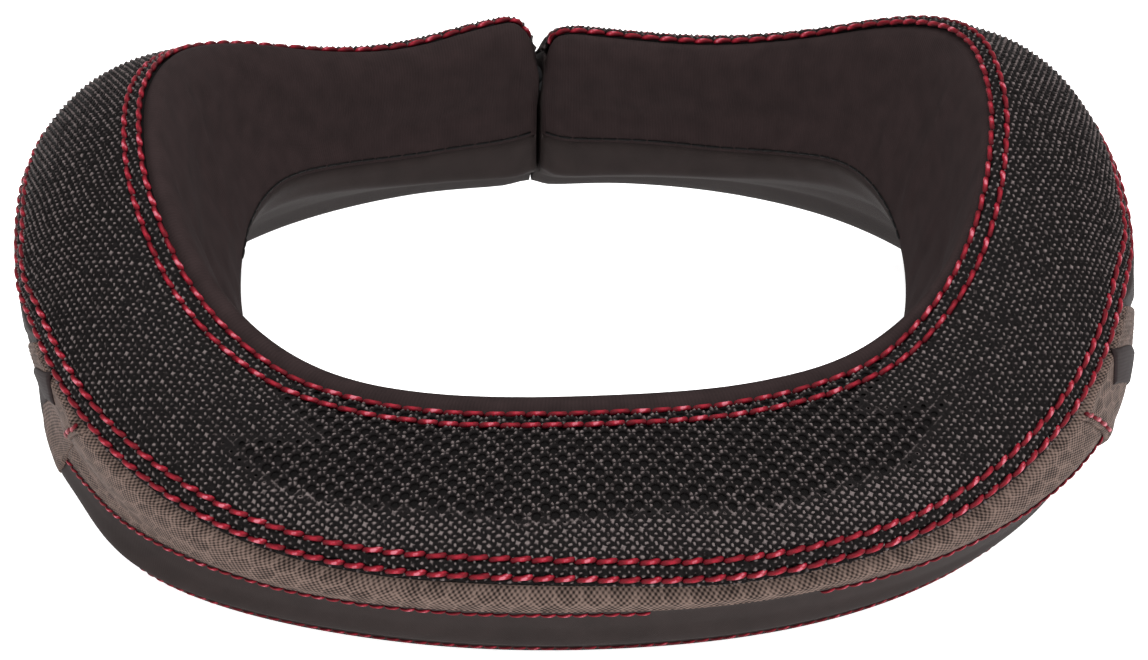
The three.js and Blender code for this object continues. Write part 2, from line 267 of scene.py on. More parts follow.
# The cover draws in round the two ends of the ring: the rim drops and the section narrows in a
# quarter circle, and the foot sags a little. Each end has its column, the drops of its rim and its foot,
# the length of its rounding, and the degrees that it bends round the ring at its neck side and at its
# outside, so that the slit is a narrow dark line.
END_ROUNDS = (
    (0, 9 * MM, 2.2 * MM, 8 * MM, -2.7, -3.7),
    (-1, 4.5 * MM, 2.2 * MM, 4 * MM, -0.5, -0.4),
)
END_NARROWING = 0.02
END_RADIUS = 100 * MM
BEND_REACH = math.radians(14)
for column, drop, sag, length, neck_bend, out_bend in END_ROUNDS:
    back = np.clip(np.abs(turns - turns[column]) * END_RADIUS / length, 0, 1)
    drawn = (1 - np.sqrt(1 - (1 - back) ** 2))[:, None]
    high, low = skin[..., 2].max(axis=1)[:, None], skin[..., 2].min(axis=1)[:, None]
    level = (2 * skin[..., 2] - high - low) / (high - low)
    nearness = np.clip(1 - np.abs(turns - turns[column]) / BEND_REACH, 0, 1)[:, None]
    skin[..., 2] -= np.where(level > 0, drop * drawn, sag * nearness**2) * np.abs(level) ** 1.5
    skin += (skin.mean(axis=1, keepdims=True) - skin) * END_NARROWING * drawn[..., None]
    radius = np.hypot(skin[..., 0], skin[..., 1])
    nearest = radius.min(axis=1)[:, None]
    outside = (radius - nearest) / (radius.max(axis=1)[:, None] - nearest)
    bend = np.radians(neck_bend + (out_bend - neck_bend) * outside) * nearness**2
    skin_x, skin_y = skin[..., 0].copy(), skin[..., 1].copy()
    skin[..., 0] = skin_x * np.cos(bend) - skin_y * np.sin(bend)
    skin[..., 1] = skin_x * np.sin(bend) + skin_y * np.cos(bend)

# The slack lower edge bulges at the left of the front, by millimetres at a turn in degrees.
HEM_BULGE = (
    (-84, 0), (-76, 1.2), (-70, 3.4), (-62, 5.4), (-54, 5), (-46, 2.8), (-36, 0.9), (-26, 0),
)
# The bulge's share at places across the cover, from the middle of the outside to the underside.
BULGE_ACROSS = ((2.5, 0), (2.75, 0.45), (2.95, 1), (3.1, 0.8), (3.5, 0))
BULGE_EASE = 8
bulge_turn, bulge_out = np.array(HEM_BULGE).T
bulge = np.interp(turns, np.radians(bulge_turn), bulge_out * MM)
bulge = smooth(bulge, BULGE_EASE, 0, "edge")[:, None]
grid_u = np.linspace(0, 4, 4 * DIVISIONS + 1)
bulge = bulge * np.interp(grid_u, *np.array(BULGE_ACROSS).T)
skin[..., 0] += bulge * np.sin(turns)[:, None]
skin[..., 1] -= bulge * np.cos(turns)[:, None]


def on_cover(turn, u, lift=0.0):
    """Points of the cover at turns round the ring and places across it, raised by a height."""
    turn, u, lift = np.broadcast_arrays(turn, u, lift)
    k = np.clip(np.interp(turn, turns, np.arange(COLUMNS)), 0, COLUMNS - 1.001)
    m = np.mod(u, 4) * DIVISIONS
    k0 = k.astype(int)
    m0 = np.minimum(m.astype(int), 4 * DIVISIONS - 1)
    k_part = (k - k0)[..., None]
    m_part = (m - m0)[..., None]

    def between(grid):
        low = grid[k0, m0] * (1 - m_part) + grid[k0, m0 + 1] * m_part
        high = grid[k0 + 1, m0] * (1 - m_part) + grid[k0 + 1, m0 + 1] * m_part
        return low * (1 - k_part) + high * k_part

    return between(skin) + between(skin_normal) * lift[..., None]


def outward():
    """The outward directions of the cover's grid, the same on both sides of the lining's foot."""
    wrapped = np.concatenate([skin[:, -2:-1], skin, skin[:, 1:2]], axis=1)
    normal = np.cross((wrapped[:, 2:] - wrapped[:, :-2]), np.gradient(skin, axis=0))
    return normal / np.linalg.norm(normal, axis=2, keepdims=True)


def u_past(turn, border, length):
    """The place across the cover that lies a length past a border, or short of it below zero."""
    before = np.interp(turn, turns, across[:, (border - 1) % 4])
    after = np.interp(turn, turns, across[:, border % 4])
    return border + length / np.where(np.asarray(length) < 0, before, after)


def seam(table, border, aside=0.0):
    """A seam's place across as a function of the turn, from degrees and millimetres past a border."""
    degrees, past = np.array(table).T
    eased = smooth(np.interp(turns, np.radians(degrees), past * MM), SEAM_EASE, 0, "edge")
    line = u_past(turns, border, eased + aside)
    return lambda turn: np.interp(turn, turns, line)


def at(value):
    """A border that stays at one turn or at one place across."""
    return lambda place: np.full_like(place, value)


def lay_grid(name, start, end, low, high, columns, rows):
    """A flat grid with, for each corner, its turn round the ring between two ends, which may change with
    the place across, and its place across between two lines, which may change with the turn."""
    bpy.ops.mesh.primitive_grid_add(x_subdivisions=columns, y_subdivisions=rows, size=1)
    laid = bpy.context.object
    laid.name = laid.data.name = name
    flat = np.zeros(len(laid.data.vertices) * 3, np.float32)
    laid.data.vertices.foreach_get("co", flat)
    s = 0.5 - flat[0::3].astype(float).reshape(rows + 1, columns + 1)
    t = 0.5 + flat[1::3].astype(float).reshape(rows + 1, columns + 1)
    u = 2 + t
    for _ in range(GRID_ROUNDS):
        turn = start(u) + s * (end(u) - start(u))
        u = low(turn) + t * (high(turn) - low(turn))
    return laid, turn, u


def place_corners(piece, points):
    """Moves a piece's corners to the given points."""
    piece.data.vertices.foreach_set("co", points.astype(np.float32).ravel())
    piece.data.update()


# The stitched seams that hold the cover down: twin rows along the rim and along the outer edge.
# Each row of a table has a turn in degrees and the seam's middle in millimetres past the mesh's border.
GRID_ROUNDS = 4
SEAM_EASE = 12
RIM_GAUGE = 4.3 * MM
EDGE_GAUGE = 4.5 * MM
RIM_MARGIN = 0.9 * MM
EDGE_MARGIN = 2.6 * MM
RIM_SEAM = (
    (-175, 1.4), (-140, 2.6), (-115, 4.8), (-90, 5.6), (-65, 4.6), (-40, 3.2), (-15, 2.1), (15, 2.2),
    (45, 2.1), (65, 0.9), (85, -0.6), (105, -1.2), (140, 0.3), (185, 1.2),
)
EDGE_SEAM = (
    (-180, -6), (-120, -7), (-90, -8), (-70, -6.6), (-50, -6.2), (-30, -4.9), (-10, -5.9), (5, -4.5),
    (20, -3), (35, -4.3), (50, -6.3), (65, -7.2), (80, -10), (100, -11), (140, -8), (185, -6),
)
rim_rows = [seam(RIM_SEAM, 1, aside) for aside in (-RIM_GAUGE / 2, RIM_GAUGE / 2)]
edge_rows = [seam(EDGE_SEAM, 2, aside) for aside in (-EDGE_GAUGE / 2, EDGE_GAUGE / 2)]

# The cover is filled out by a cloth simulation: a coarse skin, sewn down along the seams, the hem,
# the underside and the ends, swells under the foam's pressure, and every panel takes over the swelling.
PAD_TURNS = 240
PAD_ACROSS = 72
PAD_FRAMES = 20
PAD_PRESSURE = 4
PIN_REACH = 2.5 * MM
PIN_ENDS = 0.03
SWELL_CAP = 1.8 * MM
FOAM_INSET = 3.5 * MM
WELD = 0.01 * MM
skin_normal = outward()
pad, pad_turn, pad_u = lay_grid(
    "foam_ring", at(turns[0]), at(turns[-1]), at(0), at(4), PAD_TURNS, PAD_ACROSS
)
pad_start = on_cover(pad_turn, pad_u)
place_corners(pad, pad_start)
sewn = ((pad_u > 3 - PIN_ENDS) | (pad_u < PIN_ENDS)).astype(float)
sewn[:, :2] = 1
sewn[:, -2:] = 1
mesh_width = np.interp(pad_turn, turns, across[:, 1])
for row in rim_rows + edge_rows:
    away = (pad_u - row(pad_turn)) * mesh_width
    sewn = np.maximum(sewn, np.exp(-((away / PIN_REACH) ** 2)))
pins = pad.vertex_groups.new(name="sewn")
for index, weight in enumerate(sewn.ravel()):
    pins.add([index], weight, "REPLACE")
stuffing = pad.modifiers.new("stuffing", "CLOTH")
stuffing.settings.vertex_group_mass = pins.name
stuffing.settings.use_pressure = True
stuffing.settings.uniform_pressure_force = PAD_PRESSURE
stuffing.settings.effector_weights.gravity = 0
for number in range(1, PAD_FRAMES + 1):
    scene.frame_set(number)
bpy.ops.object.modifier_apply(modifier=stuffing.name)
scene.frame_set(1)
moved = np.zeros(pad_start.size, np.float32)
pad.data.vertices.foreach_get("co", moved)
rise = on_cover(pad_turn, pad_u, 1.0) - pad_start
swell = ((moved.reshape(pad_start.shape) - pad_start) * rise).sum(axis=2)
swell = np.clip(swell, 0, SWELL_CAP)
swell = np.flip(swell, axis=1) if pad_turn[0, 0] > pad_turn[0, -1] else swell
round_ring = np.linspace(turns[0], turns[-1], PAD_TURNS + 1)
along_grid = np.stack([np.interp(turns, round_ring, row) for row in swell])
pad_rows = np.linspace(0, 4, PAD_ACROSS + 1)
full = np.stack([np.interp(grid_u, pad_rows, column) for column in along_grid.T])
skin = skin + skin_normal * full[..., None]
skin_normal = outward()


def dress(piece, material, nodes=()):
    """Gives a piece its material and slot, and puts it on the ring in place of the frame's nodes."""
    piece.data.materials.clear()
    piece.data.materials.append(material)
    piece.select_set(False)
    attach(piece, "root")
    if nodes:
        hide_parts(*nodes)


def finish_surface(material, tone, bump=None):
    """Joins a tone's colour, and the grain of a bump if there is one, to a material's surface shader."""
    shader = material.node_tree.nodes["Principled BSDF"]
    material.node_tree.links.new(tone.outputs["Color"], shader.inputs["Base Color"])
    if bump:
        material.node_tree.links.new(bump.outputs["Normal"], shader.inputs["Normal"])


# Closed-cell foam, cut and ground: dull, with a grain of fine cells.
FOAM_CELL = 0.8 * MM
FOAM_GRAIN = 0.2 * MM
foam_stuff = new_material("Closed-cell foam", Roughness=0.95)
foam_place = add_node(foam_stuff, "ShaderNodeTexCoord").outputs["Object"]
foam_grain = add_node(foam_stuff, "ShaderNodeTexNoise", {"Vector": foam_place, "Scale": 1 / FOAM_CELL})
foam_tone = add_node(foam_stuff, "ShaderNodeValToRGB", {"Fac": foam_grain.outputs["Fac"]})
foam_tone.color_ramp.elements[0].color = linear("#161617")
foam_tone.color_ramp.elements[1].color = linear("#2a2a2c")
foam_bump = add_node(
    foam_stuff, "ShaderNodeBump", {"Height": foam_grain.outputs["Fac"], "Distance": FOAM_GRAIN}
)
finish_surface(foam_stuff, foam_tone, foam_bump)

place_corners(pad, on_cover(pad_turn, pad_u, -FOAM_INSET))
pad.vertex_groups.clear()
bpy.ops.object.mode_set(mode="EDIT")
bpy.ops.mesh.select_all(action="SELECT")
bpy.ops.mesh.remove_doubles(threshold=WELD)
bpy.ops.mesh.select_all(action="DESELECT")
bpy.ops.mesh.select_non_manifold()
bpy.ops.mesh.edge_face_add()
bpy.ops.mesh.select_all(action="SELECT")
bpy.ops.mesh.normals_make_consistent(inside=False)
bpy.ops.object.mode_set(mode="OBJECT")
bpy.ops.object.shade_smooth()
dress(pad, foam_stuff, ["padded_body"])

# Mesh top panel. Black knitted spacer mesh over the whole sloping top, sewn down in twin rows at the
# rim and at the outer edge. A dark wall carries the knit, a net of round holes at the front and of
# lying loops at the sides.
MESH_WALL = 1.2 * MM
MESH_CELL = 1.6 * MM
WALL_DROP = 0.9 * MM
KNIT_DROP = 0.5 * MM
SEAM_DIP = 0.6 * MM
SEAM_REACH = 1.1 * MM
EDGE_ROLL = 0.6 * MM
EDGE_REACH = 1.2 * MM
mesh_inner = seam(RIM_SEAM, 1, -RIM_GAUGE / 2 - RIM_MARGIN)
mesh_outer = seam(EDGE_SEAM, 2, EDGE_GAUGE / 2 + EDGE_MARGIN)


def ramp(value, start, end):
    """0 before a start and 1 after an end, with a soft change between them."""
    x = np.clip((value - start) / (end - start), 0, 1)
    return x * x * (3 - 2 * x)


def thicken(piece, wall):
    """Gives a laid cloth its thickness, inward from its face."""
    bpy.ops.object.shade_smooth()
    thickness = piece.modifiers.new("wall", "SOLIDIFY")
    thickness.thickness = wall
    thickness.offset = -1
    bpy.ops.object.modifier_apply(modifier=thickness.name)


def lengths_along(points):
    """The length along a line of points, from 0 at the first one."""
    return np.concatenate([[0], np.cumsum(np.linalg.norm(np.diff(points, axis=0), axis=1))])


def lay_panel(name, start, end, low, high, lift, cell, wall):
    """A cloth wall on the cover between two ends and two lines, with its cut size and its area. It is
    lifted by a function of its place and of the lengths to its lines. Its UV map is the flat cloth."""
    run = np.linspace(start(np.array(2.5)), end(np.array(2.5)), 200)
    round_line = np.linalg.norm(np.diff(on_cover(run, (low(run) + high(run)) / 2), axis=0), axis=1).sum()
    part = np.linspace(0, 1, 50)[:, None]
    cross_lines = on_cover(run, low(run) + part * (high(run) - low(run)))
    widest = np.linalg.norm(np.diff(cross_lines, axis=0), axis=2).sum(axis=0).max()
    columns = max(6, round(round_line / cell))
    rows = max(6, round(widest / cell))
    panel, turn, u = lay_grid(name, start, end, low, high, columns, rows)
    ground = on_cover(turn, u)
    down = np.linalg.norm(np.diff(ground, axis=0), axis=2)
    from_low = np.concatenate([np.zeros((1, columns + 1)), np.cumsum(down, axis=0)])
    from_high = from_low[-1] - from_low
    along = np.linalg.norm(np.diff(ground, axis=1), axis=2)
    middle_run = lengths_along(ground[rows // 2])[None].repeat(rows + 1, axis=0)
    place_corners(panel, on_cover(turn, u, lift(turn, u, from_low, from_high)))
    corner = np.zeros(len(panel.data.loops), int)
    panel.data.loops.foreach_get("vertex_index", corner)
    flat_map = np.stack([middle_run.ravel()[corner], from_low.ravel()[corner]], axis=1)
    panel.data.uv_layers[0].data.foreach_set("uv", flat_map.astype(np.float32).ravel())
    thicken(panel, wall)
    diagonal = ground[1:, 1:] - ground[:-1, :-1]
    other_diagonal = ground[1:, :-1] - ground[:-1, 1:]
    crossed = np.cross(diagonal, other_diagonal)
    area = np.linalg.norm(crossed, axis=2).sum() / 2
    return panel, (float(from_low[-1].max()), float(along.sum(axis=1).max())), float(area)


def seam_dip(turn, u):
    """How far the four stitched rows pull the mesh in."""
    width = np.interp(turn, turns, across[:, 1])
    away = [(u - row(turn)) * width for row in rim_rows + edge_rows]
    return SEAM_DIP * sum(np.exp(-((a / SEAM_REACH) ** 2)) for a in away)


def mesh_lift(turn, u, from_low, from_high):
    """The mesh's wall lies under the knit, is pulled in at its seams and rolls off at its edges."""
    edge = np.minimum(from_low, from_high)
    return -WALL_DROP - seam_dip(turn, u) - EDGE_ROLL * (1 - ramp(edge, 0, EDGE_REACH))


mesh_panel, mesh_cut, mesh_area = lay_panel(
    "mesh_top_wall", at(turns[0]), at(turns[-1]), mesh_inner, mesh_outer, mesh_lift, MESH_CELL, MESH_WALL
)

# Polyester spacer knit, black, with its light painted: painted shade in the bottoms of the holes, and a
# painted highlight on the knuckles that stand up, as grey dots, no two quite alike. The knit's own
# height, kept on each corner, sets the painted tone.
KNIT_PATCH = 1.3 * MM
KNIT_FIBRE = 0.3 * MM
KNIT_GRAIN = 0.06 * MM
knit = new_material("Knitted polyester spacer mesh", Roughness=0.6, Specular_IOR_Level=0.05)
knit_painted_light = add_node(knit, "ShaderNodeAttribute", attribute_name="knuckle_painted_light").outputs["Fac"]
knit_place = add_node(knit, "ShaderNodeTexCoord").outputs["Object"]
knit_patch = add_node(
    knit, "ShaderNodeTexNoise", {"Vector": knit_place, "Scale": 1 / KNIT_PATCH, "Detail": 1.0}
)
knit_share = add_node(
    knit, "ShaderNodeMapRange", {"Value": knit_patch.outputs["Fac"], "To Min": -0.2, "To Max": 2.2}
)
knit_level = add_node(
    knit, "ShaderNodeMath", {0: knit_painted_light, 1: knit_share.outputs["Result"]}, operation="MULTIPLY"
)
knit_tone = add_node(knit, "ShaderNodeValToRGB", {"Fac": knit_level.outputs[0]})
knit_tone.color_ramp.elements[0].color = linear("#0a0808")
knit_tone.color_ramp.elements[1].color = linear("#625958")
knit_tone.color_ramp.elements.new(0.4).color = linear("#120f0f")
knit_fibre = add_node(knit, "ShaderNodeTexNoise", {"Vector": knit_place, "Scale": 1 / KNIT_FIBRE})
knit_bump = add_node(
    knit, "ShaderNodeBump", {"Height": knit_fibre.outputs["Fac"], "Distance": KNIT_GRAIN}
)
finish_surface(knit, knit_tone, knit_bump)
dress(mesh_panel, knit, ["mesh_top_panel"])

# The knit was cut flat in the shape of a C, so its lines of holes run straight over the front and turn
# with the cloth at the sides. Between neighbouring holes stands a pillar with four knuckles, joined by
# thin ties. Where the cloth is stretched, at the sides and the front edge, the holes close to loops.
HOLE_PITCH = 4.36 * MM
LINE_PITCH = 2.34 * MM
HOLE_RADIUS = 1.1 * MM
KNUCKLE_SHARE = 0.265
KNUCKLE_WIDE = 0.32 * MM
KNUCKLE_HIGH = 0.85 * MM
TIE_HIGH = 0.2 * MM
LOOP_LONG = 0.6 * MM
LOOP_WIDE = 0.45 * MM
LOOP_LOW = 0.05 * MM
OPEN_FRONT = (math.radians(37), math.radians(43))
OPEN_EDGE = (1.6, 1.67)
OPEN_WAVE = 0.07
EDGE_WAVE = 0.3 * OPEN_WAVE
WAVES_ACROSS = 16
WAVES_ROUND = 14
OPEN_SHADE = 0.92
EDGE_PAINTED_SHEEN = 0.35
SHINE_FADE = 0.04
LIP_TAPER = 0.85
LOOP_FOOT_SHARE = 0.35
LOOP_POINT = 0.01
SHAPE_WELD = 0.02 * MM
FLAT_RADIUS = 170 * MM
SIDE_SHARES = (0, KNUCKLE_SHARE, 0.5, 1 - KNUCKLE_SHARE)
mid_run = lengths_along(on_cover(turns, 1.5))
mid_run -= np.interp(0, turns, mid_run)


def from_flat(x, y):
    """Turn and place across for points of the flat knit."""
    turn = np.interp(np.arctan2(x, y) * FLAT_RADIUS, mid_run, turns)
    return turn, 1.5 + (np.hypot(x, y) - FLAT_RADIUS) / np.interp(turn, turns, across[:, 1])


FLAT_REACH = FLAT_RADIUS + 70 * MM
lines = np.arange(-round(FLAT_REACH / LINE_PITCH), round(FLAT_REACH / LINE_PITCH) + 1)
places = np.arange(-round(FLAT_REACH / HOLE_PITCH), round(FLAT_REACH / HOLE_PITCH) + 1)
line_grid, place_grid = np.meshgrid(lines, places, indexing="ij")
hole_x = ((place_grid + 0.5 * (line_grid % 2)) * HOLE_PITCH).ravel()
hole_y = (line_grid * LINE_PITCH).ravel()
hole_turn, hole_u = from_flat(hole_x, hole_y)
on_run = np.abs(np.arctan2(hole_x, hole_y) * FLAT_RADIUS)
kept = (hole_u > mesh_inner(hole_turn)) & (hole_u < mesh_outer(hole_turn))
kept &= np.where(hole_x > 0, on_run < mid_run[-1], on_run < -mid_run[0])
hole_x, hole_y, hole_turn = hole_x[kept], hole_y[kept], hole_turn[kept]

# One hole with its share of the knit: a diamond whose corners are the middles of the pillars,
# then rings over the knuckles, round the hole's lip and down its wall.
pillars = np.array([(HOLE_PITCH / 2, 0), (0, LINE_PITCH), (-HOLE_PITCH / 2, 0), (0, -LINE_PITCH)])
diamond = np.array(
    [pillars[i] * (1 - share) + pillars[(i + 1) % 4] * share for i in range(4) for share in SIDE_SHARES]
)
SIDES = len(diamond)
knuckles = diamond[[i for i in range(SIDES) if i % 4 in (1, 3)]]
span = np.hypot(*diamond.T)
heading = diamond / span[:, None]
lip = np.full(SIDES, HOLE_RADIUS)
rings = np.stack([span, (span + lip) / 2, lip, LIP_TAPER * lip])
tile_x, tile_y = rings * heading[:, 0], rings * heading[:, 1]
tile_away = np.hypot(tile_x[..., None] - knuckles[:, 0], tile_y[..., None] - knuckles[:, 1])
near_knuckle = np.exp(-0.5 * (tile_away / KNUCKLE_WIDE) ** 2).max(axis=2)
tile_rise = np.maximum(KNUCKLE_HIGH * near_knuckle, TIE_HIGH)
tile_rise[3] = KNIT_DROP - WALL_DROP

# The same tile with its hole closed to a loop: the rings rise to a lying oval, and points stand between.
loop = 1 / np.hypot(heading[:, 0] / LOOP_LONG, heading[:, 1] / LOOP_WIDE)
loop_rings = np.stack([span, (span + loop) / 2, loop, LOOP_POINT * loop])
loop_rise = np.full(rings.shape, LOOP_LOW)
loop_rise[0, ::2] = KNUCKLE_HIGH
loop_rise[2] = LOOP_FOOT_SHARE * KNUCKLE_HIGH
loop_rise[3] = KNUCKLE_HIGH


def ring_faces(ring_count, sides):
    """Faces between rings of the same number of corners, one after another."""
    faces = []
    for low in range(0, (ring_count - 1) * sides, sides):
        high = low + sides
        for i in range(sides):
            after = (i + 1) % sides
            faces.append((low + i, high + i, high + after, low + after))
    return faces


def join_shapes(name, points, shape_faces, attribute, values):
    """One mesh of many like shapes, from an array with a row of points for each shape."""
    count = points.shape[1]
    faces = np.array(shape_faces)[None] + np.arange(len(points))[:, None, None] * count
    mesh = bpy.data.meshes.new(name)
    mesh.from_pydata(points.reshape(-1, 3), [], faces.reshape(-1, len(shape_faces[0])).tolist())
    layer = mesh.attributes.new(attribute, "FLOAT", "POINT")
    layer.data.foreach_set("value", values.astype(np.float32).ravel())
    joined = bpy.data.objects.new(name, mesh)
    scene.collection.objects.link(joined)
    bpy.context.view_layer.objects.active = joined
    joined.select_set(True)
    bpy.ops.object.mode_set(mode="EDIT")
    bpy.ops.mesh.select_all(action="SELECT")
    bpy.ops.mesh.remove_doubles(threshold=SHAPE_WELD)
    bpy.ops.object.mode_set(mode="OBJECT")
    bpy.ops.object.shade_smooth()
    return joined


def shut_share(turn, u):
    """How far the holes of the knit are closed to loops, from 0 to 1."""
    wavy_turn = np.abs(turn) + OPEN_WAVE * np.sin(WAVES_ACROSS * u + turn)
    wavy_u = u + EDGE_WAVE * np.sin(WAVES_ROUND * turn)
    return np.maximum(ramp(wavy_turn, *OPEN_FRONT), ramp(wavy_u, *OPEN_EDGE))


# The knit in three stretches of turns, clipped to the mesh's edges, where it closes down on the wall.
NET_FRONT = 0.75
NET_STRETCHES = {
    "left_knit": (turns[0], -NET_FRONT),
    "front_knit": (-NET_FRONT, NET_FRONT),
    "right_knit": (NET_FRONT, math.inf),
}
NET_MARGIN = 0.3 * MM
tile_faces = ring_faces(len(rings), SIDES)
for name, (stretch_start, stretch_end) in NET_STRETCHES.items():
    chosen = (hole_turn >= stretch_start) & (hole_turn < stretch_end)
    chosen_x, chosen_y = hole_x[chosen], hole_y[chosen]
    shut = shut_share(*from_flat(chosen_x, chosen_y))[:, None, None]
    spread = rings * (1 - shut) + loop_rings * shut
    knit_turn, knit_u = from_flat(
        chosen_x[:, None, None] + spread * heading[:, 0],
        chosen_y[:, None, None] + spread * heading[:, 1],
    )
    shut = shut_share(knit_turn, knit_u)
    open_rise = tile_rise * (1 - shut) + loop_rise * shut
    width = np.interp(knit_turn, turns, across[:, 1])
    inner, outer = mesh_inner(knit_turn), mesh_outer(knit_turn)
    knit_u = np.clip(knit_u, inner + NET_MARGIN / width, outer - NET_MARGIN / width)
    edge = np.minimum(knit_u - inner, outer - knit_u) * width
    closed = 1 - ramp(edge, NET_MARGIN, EDGE_REACH)
    rise = open_rise * (1 - closed) + (KNIT_DROP - WALL_DROP) * closed
    lift = rise - KNIT_DROP - seam_dip(knit_turn, knit_u) - EDGE_ROLL * (1 - ramp(edge, 0, EDGE_REACH))
    points = on_cover(knit_turn, knit_u, lift)
    first_row = edge_rows[0](knit_turn)
    # Painted highlight: a painted sheen lightens the open knit along the front's outer edge, fading
    # before the first edge row.
    painted_edge_sheen = EDGE_PAINTED_SHEEN * ramp(knit_u, *OPEN_EDGE) * (1 - ramp(np.abs(knit_turn), *OPEN_FRONT))
    painted_edge_sheen = painted_edge_sheen * (1 - ramp(knit_u, first_row - SHINE_FADE, first_row))
    painted_light_scale = OPEN_SHADE + (1 - OPEN_SHADE) * shut + painted_edge_sheen
    # Painted light: each corner's tone is its height, a painted highlight on the knuckles, painted shade
    # in the holes.
    tone = np.clip(rise / KNUCKLE_HIGH, 0, 1) * painted_light_scale
    net = join_shapes(name, points.reshape(len(points), -1, 3), tile_faces, "knuckle_painted_light", tone)
    dress(net, knit)

# Neck lining. Fine ribbed black jersey on the inner wall, rolled over the rim and tucked under the mesh.
# Its lower edge is seamed to the underside cloth, and soft creases stand where the ring bends most.
LINING_WALL = 0.9 * MM
LINING_CELL = 1.4 * MM
LINING_DROP = 0.3 * MM
TUCK = 3 * MM
TUCK_DEPTH = 1.6 * MM
TUCK_EASE = (TUCK - 0.5 * MM, TUCK + 2.5 * MM)
CREASE_FOOT = (2 * MM, 14 * MM)
CREASE_HEAD = (10 * MM, 26 * MM)
# Each crease with its turn in degrees, its height and its width in millimetres.
LINING_CREASES = (
    (-170, -1.3, 1.3), (-167.5, 0.5, 2), (-101, 1.1, 3.5), (-95, -0.7, 3), (-108, 0.6, 3),
    (98, 1.0, 3.5), (104, -0.7, 3), (112, 0.6, 4), (178, -0.6, 2.5),
)
lining_top = seam(RIM_SEAM, 1, -RIM_GAUGE / 2 - RIM_MARGIN + TUCK)


def sew_on(laid, material, node):
    """Dresses a laid panel in place of a node of the frame."""
    panel, cut, area = laid
    dress(panel, material, [node])


def lining_lift(turn, u, from_low, from_high):
    """The lining dips under the mesh at its top and has its creases on the standing wall."""
    lift = -LINING_DROP - TUCK_DEPTH * (1 - ramp(from_high, *TUCK_EASE))
    radius = np.hypot(*np.moveaxis(on_cover(turn, u)[..., :2], -1, 0))
    standing = ramp(from_low, *CREASE_FOOT) * ramp(from_high, *CREASE_HEAD)
    for degrees, height, wide in LINING_CREASES:
        away = (turn - math.radians(degrees)) * radius / (wide * MM)
        lift = lift + height * MM * np.exp(-(away**2)) * standing
    return lift


lining = lay_panel(
    "lining_cloth", at(turns[0]), at(turns[-1]), at(0), lining_top, lining_lift, LINING_CELL, LINING_WALL
)

# Ribbed polyester jersey: fine ribs run up the wall, dull, with a brown cast.
RIB_PITCH = 0.8 * MM
RIB_HIGH = 0.03 * MM
RIB_SHADE = 0.09
JERSEY_MOTTLE = 6 * MM
jersey = new_material("Fine ribbed polyester jersey", Roughness=0.85, Specular_IOR_Level=0.04)
jersey_flat = add_node(jersey, "ShaderNodeUVMap").outputs["UV"]
jersey_split = add_node(jersey, "ShaderNodeSeparateXYZ", {"Vector": jersey_flat})
jersey_turns = add_node(
    jersey, "ShaderNodeMath", {0: jersey_split.outputs["X"], 1: math.tau / RIB_PITCH},
    operation="MULTIPLY",
)
jersey_rib = add_node(jersey, "ShaderNodeMath", {0: jersey_turns.outputs[0]}, operation="SINE")
jersey_fibre = add_node(
    jersey, "ShaderNodeTexNoise", {"Vector": jersey_flat, "Scale": 1 / JERSEY_MOTTLE, "Detail": 5.0}
)
jersey_shade = add_node(
    jersey, "ShaderNodeMath", {0: jersey_rib.outputs[0], 1: RIB_SHADE, 2: jersey_fibre.outputs["Fac"]},
    operation="MULTIPLY_ADD",
)
jersey_tone = add_node(jersey, "ShaderNodeValToRGB", {"Fac": jersey_shade.outputs[0]})
jersey_tone.color_ramp.elements[0].color = linear("#1d1717")
jersey_tone.color_ramp.elements[1].color = linear("#2e2424")
jersey_bump = add_node(
    jersey, "ShaderNodeBump", {"Height": jersey_rib.outputs[0], "Distance": RIB_HIGH}
)
finish_surface(jersey, jersey_tone, jersey_bump)
sew_on(lining, jersey, "neck_lining")

# Underside cloth. Smooth black plain weave under the collar, from the hem to the foot of the lining,
# which it meets in a seam; at the back it shows below that seam.
UNDER_WALL = 0.9 * MM
UNDER_CELL = 1.6 * MM
UNDER_DROP = 0.25 * MM
UNDER_TUCK = 1.1 * MM
UNDER_EASE = (1 * MM, 3 * MM)
UNDER_LAP = 0.5 * MM
FOOT_LAP = 1 * MM


def under_lift(turn, u, from_low, from_high):
    """The underside is tucked in at the hem and under the foot of the lining."""
    edge = np.minimum(from_low, from_high)
    return -UNDER_DROP - UNDER_TUCK * (1 - ramp(edge, *UNDER_EASE))


underside = lay_panel(
    "underside_cloth", at(turns[0]), at(turns[-1]),
    lambda turn: u_past(turn, 3, -UNDER_LAP), lambda turn: u_past(turn, 4, FOOT_LAP),
    under_lift, UNDER_CELL, UNDER_WALL,
)

# Plain-woven nylon, black: smooth, with a dull gloss and a faint thread grain.
THREAD_PITCH = 0.7 * MM
THREAD_HIGH = 0.02 * MM
SMOOTH_MOTTLE = 9 * MM
smooth_cloth = new_material("Smooth plain-woven nylon", Roughness=0.65, Specular_IOR_Level=0.05)
smooth_flat = add_node(smooth_cloth, "ShaderNodeUVMap").outputs["UV"]
smooth_mottle = add_node(
    smooth_cloth, "ShaderNodeTexNoise",
    {"Vector": smooth_flat, "Scale": 1 / SMOOTH_MOTTLE, "Detail": 4.0},
)
smooth_tone = add_node(smooth_cloth, "ShaderNodeValToRGB", {"Fac": smooth_mottle.outputs["Fac"]})
smooth_tone.color_ramp.elements[0].color = linear("#201b1a")
smooth_tone.color_ramp.elements[1].color = linear("#2d2625")
smooth_turns = add_node(
    smooth_cloth, "ShaderNodeVectorMath", {0: smooth_flat, 1: (math.tau / THREAD_PITCH,) * 3},
    operation="MULTIPLY",
)
smooth_wave = add_node(
    smooth_cloth, "ShaderNodeVectorMath", {0: smooth_turns.outputs[0]}, operation="SINE"
)
